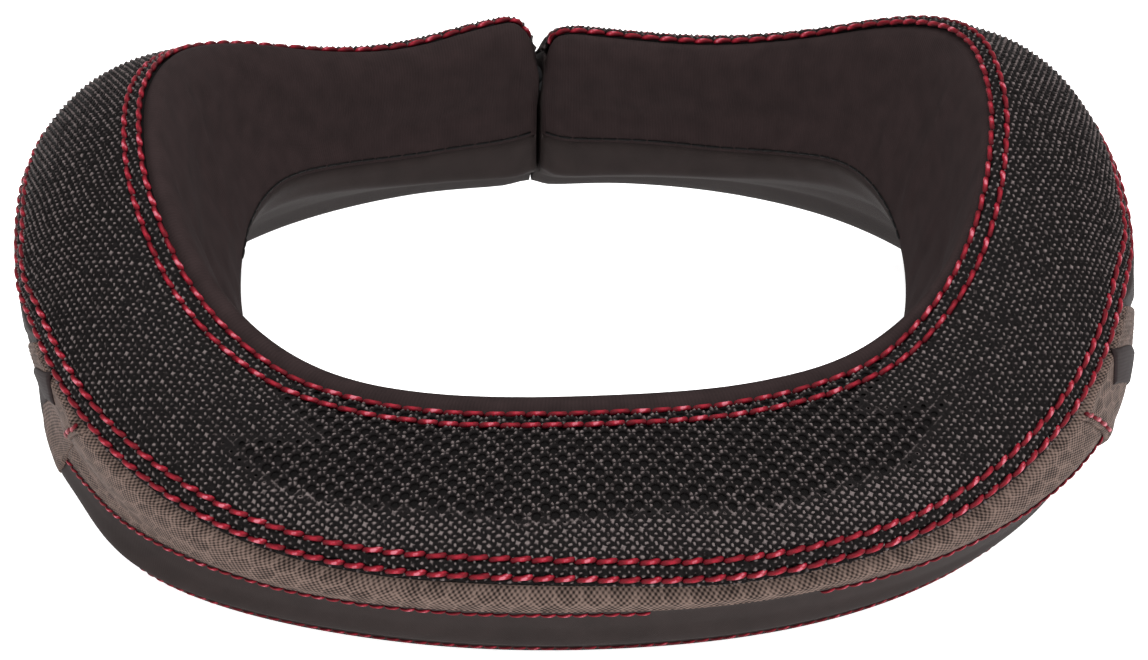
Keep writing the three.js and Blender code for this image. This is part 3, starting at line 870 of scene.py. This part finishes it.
smooth_split = add_node(smooth_cloth, "ShaderNodeSeparateXYZ", {"Vector": smooth_wave.outputs[0]})
smooth_weave = add_node(
    smooth_cloth, "ShaderNodeMath", {0: smooth_split.outputs["X"], 1: smooth_split.outputs["Y"]},
    operation="MULTIPLY",
)
smooth_bump = add_node(
    smooth_cloth, "ShaderNodeBump", {"Height": smooth_weave.outputs[0], "Distance": THREAD_HIGH}
)
finish_surface(smooth_cloth, smooth_tone, smooth_bump)
sew_on(underside, smooth_cloth, "underside_panel")

# Front bands. Below the mesh a puffed band of taupe ripstop, and below that, set back under its turned
# edge, a smooth black band down to the hem. Both run in under the folded edges of the side panels.
BAND_WALL = 1.0 * MM
BAND_CELL = 1.0 * MM
BAND_END = math.radians(64)
BAND_PUFF = 0.7 * MM
BAND_SET_BACK = 1.0 * MM
BAND_COME_OUT = 0.9 * MM
COME_OUT_EASE = (2 * MM, 9 * MM)
BAND_TURN_IN = 0.9 * MM
BAND_EDGE = 1.3 * MM
FOLD_TOP = {-1: math.radians(59.7), 1: math.radians(57)}
FOLD_SLANT = math.radians(15)
SIDE_RADIUS = 140 * MM
SKIRT = 4 * MM
SKIRT_DEPTH = 1.9 * MM
SKIRT_EASE = (SKIRT - 1 * MM, SKIRT + 3 * MM)
PUFF_TOP = (SKIRT, SKIRT + 5 * MM)
PUFF_FOOT = (1.5 * MM, 5 * MM)
UNDER_FOLD = 2.2 * MM
FOLD_EASE = (-0.5 * MM, 2.5 * MM)
HEM_ROLL = 0.6 * MM
HEM_ROUND = 2 * MM
HEM_LAP = 0.5 * MM
# Each row has a turn in degrees and how far below the mesh's border the taupe band ends, in millimetres.
BAND_SEAM = (
    (-80, 38), (-70, 34), (-65, 30.5), (-60, 25.3), (-55, 20.6), (-50, 16.6), (-45, 14), (-38, 12.2),
    (-30, 9.8), (-20, 8.8), (0, 8.3), (15, 9.2), (30, 9), (40, 10.6), (50, 12.9), (55, 14.8), (60, 17),
    (65, 18.5), (80, 22),
)
band_edge = seam(BAND_SEAM, 2)


def band_top(turn):
    """The upper edge of every outer panel, tucked under the mesh."""
    return mesh_outer(turn) - SKIRT / np.interp(turn, turns, across[:, 1])


def lower_top(turn):
    """The upper edge of the black band, tucked under the taupe one."""
    return band_edge(turn) - SKIRT / np.interp(turn, turns, across[:, 2])


def hem(turn):
    """The lower edge of every outer panel."""
    return u_past(turn, 3, HEM_LAP)


def band_end(side):
    """The end of the bands on one side, which slants back as it goes down."""
    return lambda u: side * (BAND_END + FOLD_SLANT * (u - 2))


def past_fold(turn, u):
    """The length from the folded front edge of the nearer side panel, positive behind it."""
    fold_top = np.where(turn < 0, FOLD_TOP[-1], FOLD_TOP[1])
    return (np.abs(turn) - fold_top - FOLD_SLANT * (u - 2)) * SIDE_RADIUS


def skirt_drop(from_low):
    """How deep an outer panel lies where it comes out from under the mesh."""
    return SKIRT_DEPTH * (1 - ramp(from_low, *SKIRT_EASE))


def hem_roll(from_high):
    """How far an outer panel rolls in at the hem."""
    return HEM_ROLL * (1 - ramp(from_high, 0, HEM_ROUND))


def under_side(turn, u):
    """How deep the bands lie where the side panels lap over them."""
    return UNDER_FOLD * ramp(past_fold(turn, u), *FOLD_EASE)


def front_lift(turn, u, from_low, from_high):
    """The taupe band puffs a little, turns in at its stitched edge and lies deeper under the sides."""
    puff = BAND_PUFF * ramp(from_low, *PUFF_TOP) * ramp(from_high, *PUFF_FOOT)
    turned = BAND_TURN_IN * (1 - ramp(from_high, 0, BAND_EDGE))
    return puff - turned - np.maximum(skirt_drop(from_low), under_side(turn, u))


def lower_lift(turn, u, from_low, from_high):
    """The black band lies back under the taupe band, comes out toward the hem and rolls in there."""
    back = BAND_SET_BACK - BAND_COME_OUT * (1 - ramp(from_high, *COME_OUT_EASE))
    return -np.maximum(back, under_side(turn, u)) - hem_roll(from_high)


front_band = lay_panel(
    "front_band_cloth", band_end(-1), band_end(1), band_top, band_edge, front_lift, BAND_CELL, BAND_WALL
)
lower_band = lay_panel(
    "lower_band_cloth", band_end(-1), band_end(1), lower_top, hem, lower_lift, BAND_CELL, BAND_WALL
)

# Ripstop nylon, taupe: a fine plain weave, dotted where threads cross, with heavier threads in a grid of
# hexagons. The weave is drawn a little coarser than the real one so that it shows.
HEX_CELL = 6.4 * MM
HEX_LINE = 0.035
RIP_THREAD = 1.4 * MM
RIP_MOTTLE = 4 * MM
RIP_HIGH = 0.1 * MM
WEAVE_SHARE = 0.5
HEX_SHARE = 0.25
ripstop = new_material("Hexagon-grid ripstop nylon", Roughness=0.7, Specular_IOR_Level=0.04)
rip_flat = add_node(ripstop, "ShaderNodeUVMap").outputs["UV"]
hex_step = (1, math.sqrt(3), 1)
hex_half = tuple(step / 2 for step in hex_step)
hex_scaled = add_node(
    ripstop, "ShaderNodeVectorMath", {0: rip_flat, 1: (1 / HEX_CELL,) * 3, 2: hex_step},
    operation="MULTIPLY_ADD",
)
hex_shifted = add_node(
    ripstop, "ShaderNodeVectorMath", {0: hex_scaled.outputs[0], 1: hex_half}, operation="ADD"
)
hex_offsets, hex_lengths = [], []
for lattice in (hex_scaled, hex_shifted):
    offset = lattice.outputs[0]
    for value, operation in ((hex_step, "MODULO"), (hex_half, "SUBTRACT"), ((1, 1, 0), "MULTIPLY")):
        stepped = add_node(ripstop, "ShaderNodeVectorMath", {0: offset, 1: value}, operation=operation)
        offset = stepped.outputs[0]
    far = add_node(ripstop, "ShaderNodeVectorMath", {0: offset}, operation="LENGTH")
    hex_offsets.append(offset)
    hex_lengths.append(far.outputs["Value"])
hex_nearer = add_node(
    ripstop, "ShaderNodeMath", {0: hex_lengths[0], 1: hex_lengths[1]}, operation="LESS_THAN"
)
hex_own = add_node(
    ripstop, "ShaderNodeMix", {"Factor": hex_nearer.outputs[0], 4: hex_offsets[1], 5: hex_offsets[0]},
    data_type="VECTOR",
)
hex_quarter = add_node(ripstop, "ShaderNodeVectorMath", {0: hex_own.outputs[1]}, operation="ABSOLUTE")
hex_slant = add_node(
    ripstop, "ShaderNodeVectorMath", {0: hex_quarter.outputs[0], 1: (0.5, math.sqrt(3) / 2, 0)},
    operation="DOT_PRODUCT",
)
hex_split = add_node(ripstop, "ShaderNodeSeparateXYZ", {"Vector": hex_quarter.outputs[0]})
hex_out = add_node(
    ripstop, "ShaderNodeMath", {0: hex_slant.outputs["Value"], 1: hex_split.outputs["X"]},
    operation="MAXIMUM",
)
hex_line = add_node(
    ripstop, "ShaderNodeMapRange",
    {"Value": hex_out.outputs[0], "From Min": 0.5 - 2 * HEX_LINE, "From Max": 0.5 - HEX_LINE},
)
rip_turns = add_node(
    ripstop, "ShaderNodeVectorMath", {0: rip_flat, 1: (math.tau / RIP_THREAD,) * 3}, operation="MULTIPLY"
)
rip_wave = add_node(ripstop, "ShaderNodeVectorMath", {0: rip_turns.outputs[0]}, operation="SINE")
rip_split = add_node(ripstop, "ShaderNodeSeparateXYZ", {"Vector": rip_wave.outputs[0]})
rip_weave = add_node(
    ripstop, "ShaderNodeMath", {0: rip_split.outputs["X"], 1: rip_split.outputs["Y"]},
    operation="MULTIPLY",
)
rip_mottle = add_node(
    ripstop, "ShaderNodeTexNoise", {"Vector": rip_flat, "Scale": 1 / RIP_MOTTLE, "Detail": 4.0}
)
rip_weight = add_node(
    ripstop, "ShaderNodeMath", {0: rip_weave.outputs[0], 1: WEAVE_SHARE, 2: rip_mottle.outputs["Fac"]},
    operation="MULTIPLY_ADD",
)
rip_height = add_node(
    ripstop, "ShaderNodeMath", {0: hex_line.outputs["Result"], 1: HEX_SHARE, 2: rip_weight.outputs[0]},
    operation="MULTIPLY_ADD",
)
rip_tone = add_node(ripstop, "ShaderNodeValToRGB", {"Fac": rip_height.outputs[0]})
rip_tone.color_ramp.elements[0].position = 0.1
rip_tone.color_ramp.elements[0].color = linear("#1c1614")
rip_tone.color_ramp.elements[1].position = 0.95
rip_tone.color_ramp.elements[1].color = linear("#66564f")
rip_bump = add_node(
    ripstop, "ShaderNodeBump", {"Height": rip_height.outputs[0], "Distance": RIP_HIGH}
)
finish_surface(ripstop, rip_tone, rip_bump)
sew_on(front_band, ripstop, "front_band")
sew_on(lower_band, smooth_cloth, "lower_front_band")

# Side panels. Taupe ripstop at both sides, turned under in a thick fold that laps over the ends of the
# front bands and is held there by a bar of red stitches. It is gathered in small ribs behind the strap.
SIDE_WALL = 1.0 * MM
SIDE_CELL = 0.5 * MM
SIDE_BACK = math.radians(72.5)
SIDE_BACK_LAST = math.radians(81)
STRAP_TURN = {-1: math.radians(65.6), 1: math.radians(64.1)}
STRAP_SLANT = math.radians(25)
STRAP_HALF = math.radians(2.8)
FOLD_HIGH = 1.2 * MM
FOLD_ROUND = 1.0 * MM
FOLD_EDGE = 0.9 * MM
FOLD_HEAD = (SKIRT, SKIRT + 3 * MM)
FOLD_FADE = (2.35, 2.8)
FOLD_FADE_SHARE = 0.8
BAR_PLACE = 2.4 * MM
BAR_PULL = 0.5 * MM
BAR_END = 2.42
GATHER_PITCH = math.radians(0.7)
GATHER_DEEP = 0.6 * MM
GATHER_FRONT = (STRAP_HALF, 1.2 * STRAP_HALF)
GATHER_BACK = (2.6 * STRAP_HALF, 3 * STRAP_HALF)
GATHER_FOOT = (2.2, 2.6)


def fold(side):
    """The folded front edge of a side panel."""
    return lambda u: side * (FOLD_TOP[side] + FOLD_SLANT * (u - 2))


def side_back(side, tuck=0.0):
    """The rear edge of a side panel, which slants back with the strap and then goes straight down."""
    return lambda u: side * (np.minimum(SIDE_BACK + STRAP_SLANT * (u - 2), SIDE_BACK_LAST) - tuck)


def past_strap(turn, u):
    """How far a place lies behind the middle line of the nearer strap, as a turn."""
    return np.abs(turn) - np.where(turn < 0, STRAP_TURN[-1], STRAP_TURN[1]) - STRAP_SLANT * (u - 2)


def side_lift(turn, u, from_low, from_high):
    """A side panel has a fold at its front, pulled in by the bar of stitches, and gathers behind."""
    behind = past_fold(turn, u)
    thick = FOLD_HIGH * (1 - ramp(behind, BAR_PLACE, 4 * BAR_PLACE))
    thick = thick * (1 - FOLD_FADE_SHARE * ramp(u, *FOLD_FADE))
    rounded = FOLD_ROUND * (1 - ramp(behind, 0, FOLD_EDGE))
    pulled = BAR_PULL * np.exp(-(((behind - BAR_PLACE) / MM) ** 2)) * (u < BAR_END)
    slanted = past_strap(turn, u)
    gathered = ramp(slanted, *GATHER_FRONT) * (1 - ramp(slanted, *GATHER_BACK))
    groove = (1 - np.abs(np.sin(slanted * math.pi / GATHER_PITCH))) ** 2
    gathers = GATHER_DEEP * groove * gathered * (1 - ramp(u, *GATHER_FOOT))
    outer = (thick - rounded - pulled) * ramp(from_low, *FOLD_HEAD)
    return outer - gathers - skirt_drop(from_low) - hem_roll(from_high)


for word, side in (("left", -1), ("right", 1)):
    start, end = (side_back(-1), fold(-1)) if side < 0 else (fold(1), side_back(1))
    panel = lay_panel(
        f"{word}_side_cloth", start, end, band_top, hem, side_lift, SIDE_CELL, SIDE_WALL
    )
    sew_on(panel, ripstop, f"{word}_side_panel")

# Rear panels. Smooth dark cloth on the outside from the side panels to the slit, tucked under both
# the mesh and the side panels.
REAR_CELL = 1.5 * MM
REAR_TUCK = math.radians(1.5)
REAR_TUCK_DEPTH = 1.3 * MM
REAR_DROP = 0.2 * MM


def rear_lift(turn, u, from_low, from_high):
    """The rear cloth comes out from under the mesh and the side panel and rolls in at the hem."""
    past_side = np.abs(turn) - side_back(1)(u)
    tucked = REAR_TUCK_DEPTH * (1 - ramp(past_side, 0, 2 * REAR_TUCK))
    return -REAR_DROP - np.maximum(skirt_drop(from_low), tucked) - hem_roll(from_high)


for word, start, end in (
    ("left", at(turns[0]), side_back(-1, REAR_TUCK)), ("right", side_back(1, REAR_TUCK), at(turns[-1]))
):
    panel = lay_panel(
        f"{word}_rear_cloth", start, end, band_top, hem, rear_lift, REAR_CELL, SIDE_WALL
    )
    sew_on(panel, smooth_cloth, f"{word}_rear_panel")

# End panels. Smooth black cloth that closes each end of the ring, set in the edges of the other panels
# and domed into the slit by the foam.
END_DOME = 0.6 * MM
END_RINGS = 12
END_INSET = 0.4 * MM
END_WALL = 0.6 * MM


def close_end(name, column, facing):
    """A domed cap over one end of the ring, from its outline to the middle, its cut size and area."""
    turn = turns[column]
    sides = PAD_ACROSS * 2
    cap, _, place_u = lay_grid(name, at(0), at(1), at(0), at(4), END_RINGS, sides)
    inward = 1 - np.linspace(0, 1, END_RINGS + 1)[None].repeat(sides + 1, axis=0)
    outline = on_cover(turn, place_u, -END_INSET)
    centre = outline[:-1, 0].mean(axis=0)
    forward = np.array([math.cos(turn), math.sin(turn), 0]) * facing
    dome = END_DOME * np.sqrt(np.clip(1 - (1 - inward) ** 4, 0, 1))
    place_corners(cap, outline + (centre - outline) * inward[..., None] + forward * dome[..., None])
    bpy.ops.object.mode_set(mode="EDIT")
    bpy.ops.mesh.select_all(action="SELECT")
    bpy.ops.mesh.remove_doubles(threshold=WELD)
    bpy.ops.mesh.normals_make_consistent(inside=False)
    bpy.ops.object.mode_set(mode="OBJECT")
    thicken(cap, END_WALL)
    rim = outline[:, 0]
    area = np.linalg.norm(np.cross(rim[:-1] - centre, rim[1:] - centre), axis=1).sum() / 2
    wide = np.ptp(np.hypot(rim[:, 0], rim[:, 1]))
    return cap, (float(wide), float(np.ptp(rim[:, 2]))), float(area)


for word, column, facing in (("left", 0, -1), ("right", -1, 1)):
    cap = close_end(f"{word}_end_cloth", column, facing)
    sew_on(cap, smooth_cloth, f"{word}_end_panel")

# Side straps. Short straps of black webbing sewn across the side panels, with an upright front end just
# below the mesh's edge, slanting back as they go down.
STRAP_WALL = 0.7 * MM
STRAP_CELL = 0.6 * MM
STRAP_HIGH = 0.7 * MM
STRAP_EDGE = 0.5 * MM
STRAP_ROUND = 1 * MM
STRAP_FRONT = math.radians(1)
STRAP_REAR = math.radians(80)


def strap_edge(half):
    """One long edge of a strap."""
    return lambda turn: 2 + (past_strap(turn, 2) - half) / STRAP_SLANT


def strap_lift(turn, u, from_low, from_high):
    """The strap lies on the side panel and thins out at its front end and its two long edges."""
    from_front = (past_strap(turn, 2) - STRAP_FRONT) * SIDE_RADIUS
    edge = np.minimum(np.minimum(from_low, from_high), from_front)
    return STRAP_HIGH - STRAP_EDGE * (1 - ramp(edge, 0, STRAP_ROUND))


# Woven nylon webbing, black: dull, with a fine crosswise weave.
WEB_RIB = 1.0 * MM
WEB_RIB_HIGH = 0.05 * MM
WEB_MOTTLE = 2 * MM
webbing = new_material("Woven nylon webbing", Roughness=0.7, Specular_IOR_Level=0.05)
web_flat = add_node(webbing, "ShaderNodeUVMap").outputs["UV"]
web_mottle = add_node(webbing, "ShaderNodeTexNoise", {"Vector": web_flat, "Scale": 1 / WEB_MOTTLE})
web_tone = add_node(webbing, "ShaderNodeValToRGB", {"Fac": web_mottle.outputs["Fac"]})
web_tone.color_ramp.elements[0].color = linear("#1a1414")
web_tone.color_ramp.elements[1].color = linear("#261d1d")
web_wave = add_node(
    webbing, "ShaderNodeTexWave", {"Vector": web_flat, "Scale": math.tau / 20 / WEB_RIB},
    bands_direction="Y",
)
web_bump = add_node(
    webbing, "ShaderNodeBump", {"Height": web_wave.outputs["Fac"], "Distance": WEB_RIB_HIGH}
)
finish_surface(webbing, web_tone, web_bump)
for word, side in (("left", -1), ("right", 1)):
    start, end = sorted((side * (STRAP_TURN[side] + STRAP_FRONT), side * STRAP_REAR))
    strap = lay_panel(
        f"{word}_webbing", at(start), at(end), strap_edge(STRAP_HALF), strap_edge(-STRAP_HALF),
        strap_lift, STRAP_CELL, STRAP_WALL,
    )
    sew_on(strap, webbing, f"{word}_side_strap")

# Closure tab. One plain tab of woven hook and loop tape, pressed on the rear panels from outside, where
# it bridges the slit and holds the ring shut. It shows through the slit as a dark strip.
TAB_REACH = math.radians(20)
TAB_BRIDGE = math.radians(7)
TAB_WALL = 2 * MM
TAB_LIFT = 2.2 * MM
TAB_TOP = 2.06
TAB_FOOT = 3.0
TAB_COLUMNS = 80
TAB_ROWS = 24


def over_slit(angle, u, lift):
    """Points of the cover behind the slit, which is bridged where the ends are rounded off."""
    right = on_cover(slit_turn - np.maximum(-angle, TAB_BRIDGE), u, lift)
    left = on_cover(slit_turn - math.tau + np.maximum(angle, TAB_BRIDGE), u, lift)
    share = np.clip((angle + TAB_BRIDGE) / (2 * TAB_BRIDGE), 0, 1)[..., None]
    return right * (1 - share) + left * share


tab, tab_angle, tab_u = lay_grid(
    "hook_and_loop_tab", at(-TAB_REACH), at(TAB_REACH), at(TAB_TOP), at(TAB_FOOT), TAB_COLUMNS, TAB_ROWS
)
place_corners(tab, over_slit(tab_angle, tab_u, np.full_like(tab_u, TAB_LIFT)))
thicken(tab, TAB_WALL)
dress(tab, webbing, ["closure_tab"])

# Stitching. Red polyester thread, two plies twisted, sewn in a lockstitch: each stitch lies on the cloth
# and dives into it at both ends. Black thread holds the foot of the lining.
STITCH_RINGS = 9
STITCH_SIDES = 8
STITCH_FILL = 1.14
PLY_DEPTH = 0.22
PLY_TURNS = 0.6
STITCH_JITTER = 0.08 * MM
STITCH_DRIFT = 0.03
SHADE_TONE = 0.12
CREST_PAINTED_LIGHT = 0.42
PLY_SHADE = 0.35
STREAK_PLACE = 0.62
STREAK_SLANT = 0.14
STREAK_LONG = 0.18
PAINTED_GLINT = (0.2, 0.8)


def sew(name, lines, pitch, thick, height, dive, slant, material):
    """Rows of stitches as one mesh. Each line has its turns and its places across, in order,
    and the height over the cover is a function of the turn."""
    chance = np.random.default_rng(len(name))
    shapes = []
    along = np.linspace(0, 1, STITCH_RINGS)
    around = np.arange(STITCH_SIDES) * math.tau / STITCH_SIDES
    ply = np.abs(np.cos(around - PLY_TURNS * math.tau * along[:, None]))
    taper = np.sqrt(np.clip(1 - (2 * along - 1) ** 6, 0, 1))[:, None]
    radius = thick / 2 * (1 - PLY_DEPTH + PLY_DEPTH * ply) * taper
    for line_turn, line_u in lines:
        run = lengths_along(on_cover(line_turn, line_u))
        count = int(run[-1] / pitch)
        place = (np.arange(count)[:, None] + 0.5 + STITCH_FILL * (along - 0.5)) * run[-1] / count
        place = place + chance.uniform(-STITCH_DRIFT, STITCH_DRIFT, (count, 1)) * pitch
        turn, u = np.interp(place, run, line_turn), np.interp(place, run, line_u)
        arch = 1 - (2 * along - 1) ** 4
        lift = height(turn) - dive + dive * arch + chance.uniform(-1, 1, (count, 1)) * STITCH_JITTER
        centre = on_cover(turn, u, lift)
        up = on_cover(turn, u, lift + 1.0) - centre
        forward = np.gradient(centre, axis=1)
        forward /= np.linalg.norm(forward, axis=2, keepdims=True)
        aside = np.cross(up, forward)
        centre = centre + aside * (slant * (along - 0.5))[None, :, None]
        section = (
            aside[:, :, None] * (radius * np.cos(around))[None, ..., None]
            + up[:, :, None] * (radius * np.sin(around))[None, ..., None]
        )
        shapes.append((centre[:, :, None] + section).reshape(count, -1, 3))
    shapes = np.concatenate(shapes)
    # Painted light on each stitch: painted shade in the ply grooves, a painted highlight along its top,
    # a painted glint in a slanted streak.
    ply_painted_shade = PLY_SHADE + (1 - PLY_SHADE) * ply**2
    body = SHADE_TONE + CREST_PAINTED_LIGHT * np.clip(np.sin(around), 0, 1) * ply_painted_shade
    past_streak = along[:, None] - STREAK_PLACE - STREAK_SLANT * np.cos(around)
    painted_streak = np.exp(-((past_streak / STREAK_LONG) ** 2)) * (np.sin(around) > -0.1)
    painted_glint = chance.uniform(*PAINTED_GLINT, (len(shapes), 1))
    values = body.ravel() + painted_streak.ravel() * painted_glint
    stitches = join_shapes(name, shapes, ring_faces(STITCH_RINGS, STITCH_SIDES), "crest_painted_light", values)
    dress(stitches, material)


# Twisted polyester thread: the plies are silky. The red one is deep red, with painted shade in its dips
# and a painted pink highlight along its crests, and the black one is nearly even, with the same painted
# light kept faint.
red_thread = new_material("Red twisted polyester thread", Roughness=0.5, Specular_IOR_Level=0.1)
red_crest = add_node(red_thread, "ShaderNodeAttribute", attribute_name="crest_painted_light").outputs["Fac"]
red_tone = add_node(red_thread, "ShaderNodeValToRGB", {"Fac": red_crest})
red_tone.color_ramp.elements[0].color = linear("#1c0206")
red_tone.color_ramp.elements[1].color = linear("#a65a66")
red_tone.color_ramp.elements.new(0.45).color = linear("#560511")
red_tone.color_ramp.elements.new(0.75).color = linear("#7e1222")
finish_surface(red_thread, red_tone)
black_thread = new_material("Black twisted polyester thread", Roughness=0.6, Specular_IOR_Level=0.1)
black_crest = add_node(black_thread, "ShaderNodeAttribute", attribute_name="crest_painted_light").outputs["Fac"]
black_tone = add_node(black_thread, "ShaderNodeValToRGB", {"Fac": black_crest})
black_tone.color_ramp.elements[0].color = linear("#030303")
black_tone.color_ramp.elements[1].color = linear("#0f0e0e")
finish_surface(black_thread, black_tone)

STITCH_PITCH = 5 * MM
THREAD = 1.5 * MM
DIVE = 0.6 * MM
END_GAP = 0.01
RING_STEPS = 1500
BAND_STEPS = 1200
BAND_OVERRUN = 1.2
ring_run = np.linspace(turns[0] + END_GAP, turns[-1] - END_GAP, RING_STEPS)
# Behind the neck the twin rows lie deeper in the cloth.
BACK_SINK = 0.4 * MM
BACK_START = (math.radians(115), math.radians(140))


def row_height(base):
    """The height of a twin row's stitches at a turn."""
    return lambda turn: base - BACK_SINK * ramp(np.abs(turn), *BACK_START)


# Each pair of rows with the height of its stitches over the cover and how far they slant across the row.
twin_rows = {
    "rim_stitches": (rim_rows, -0.35 * MM, 0.5 * MM),
    "edge_stitches": (edge_rows, -0.25 * MM, 0.9 * MM),
}
for name, (stitch_rows, height, slant) in twin_rows.items():
    twin_lines = [(ring_run, row(ring_run)) for row in stitch_rows]
    sew(name, twin_lines, STITCH_PITCH, THREAD, row_height(height), DIVE, slant, red_thread)


def between_folds(line, margin):
    """A line over the front bands that stops short of both side folds."""
    turn = np.linspace(-BAND_END, BAND_END, BAND_STEPS) * BAND_OVERRUN
    u = line(turn)
    shown = past_fold(turn, u) < -margin
    return turn[shown], u[shown]


# The row along the band is lost from sight where the puffed band hangs over it.
HIDDEN_ROW = (math.radians(5), math.radians(23))
row_turn, row_u = between_folds(band_edge, 0.0)
before, after = row_turn < HIDDEN_ROW[0], row_turn > HIDDEN_ROW[1]
band_lines = [(row_turn[shown], row_u[shown]) for shown in (before, after)]

# One row runs along the hem, a bar goes down each side fold, and a row holds the lining's foot behind.
HEM_ROW = 2 * MM
HEM_STOP = 1 * MM
BAR_START = 1.97
BAR_STEPS = 200
FOOT_ROW = 1.2 * MM
FOOT_START = math.radians(95)
FOOT_STEPS = 500
hem_line = between_folds(lambda turn: u_past(turn, 3, HEM_ROW), HEM_STOP)
bar_lines = []
for side in (-1, 1):
    bar_u = np.linspace(BAR_START, BAR_END, BAR_STEPS)
    bar_lines.append((fold(side)(bar_u) + side * BAR_PLACE / SIDE_RADIUS, bar_u))
foot_ends = ((turns[0] + END_GAP, -FOOT_START), (FOOT_START, turns[-1] - END_GAP))
foot_runs = [np.linspace(start, end, FOOT_STEPS) for start, end in foot_ends]
foot_lines = [(run, u_past(run, 0, FOOT_ROW)) for run in foot_runs]
# Each single row with its lines, then in millimetres its pitch, its thread, the height of its stitches
# over the cover, how deep their ends dive and how far they slant, and its thread's material.
single_rows = {
    "band_stitches": (band_lines, (3.7, 0.8, 0.1, 0.6, 0.5), red_thread),
    "hem_stitches": ([hem_line], (3.4, 0.8, -0.6, 0.5, 0.2), red_thread),
    "bar_stitches": (bar_lines, (4.6, 1.3, 0.9, 0.5, 0.6), red_thread),
    "lining_stitches": (foot_lines, (4.2, 0.7, -0.2, 0.4, 0.1), black_thread),
}
for name, (stitch_lines, measures, material) in single_rows.items():
    pitch, thick, height, dive, slant = (measure * MM for measure in measures)
    sew(name, stitch_lines, pitch, thick, at(height), dive, slant, material)
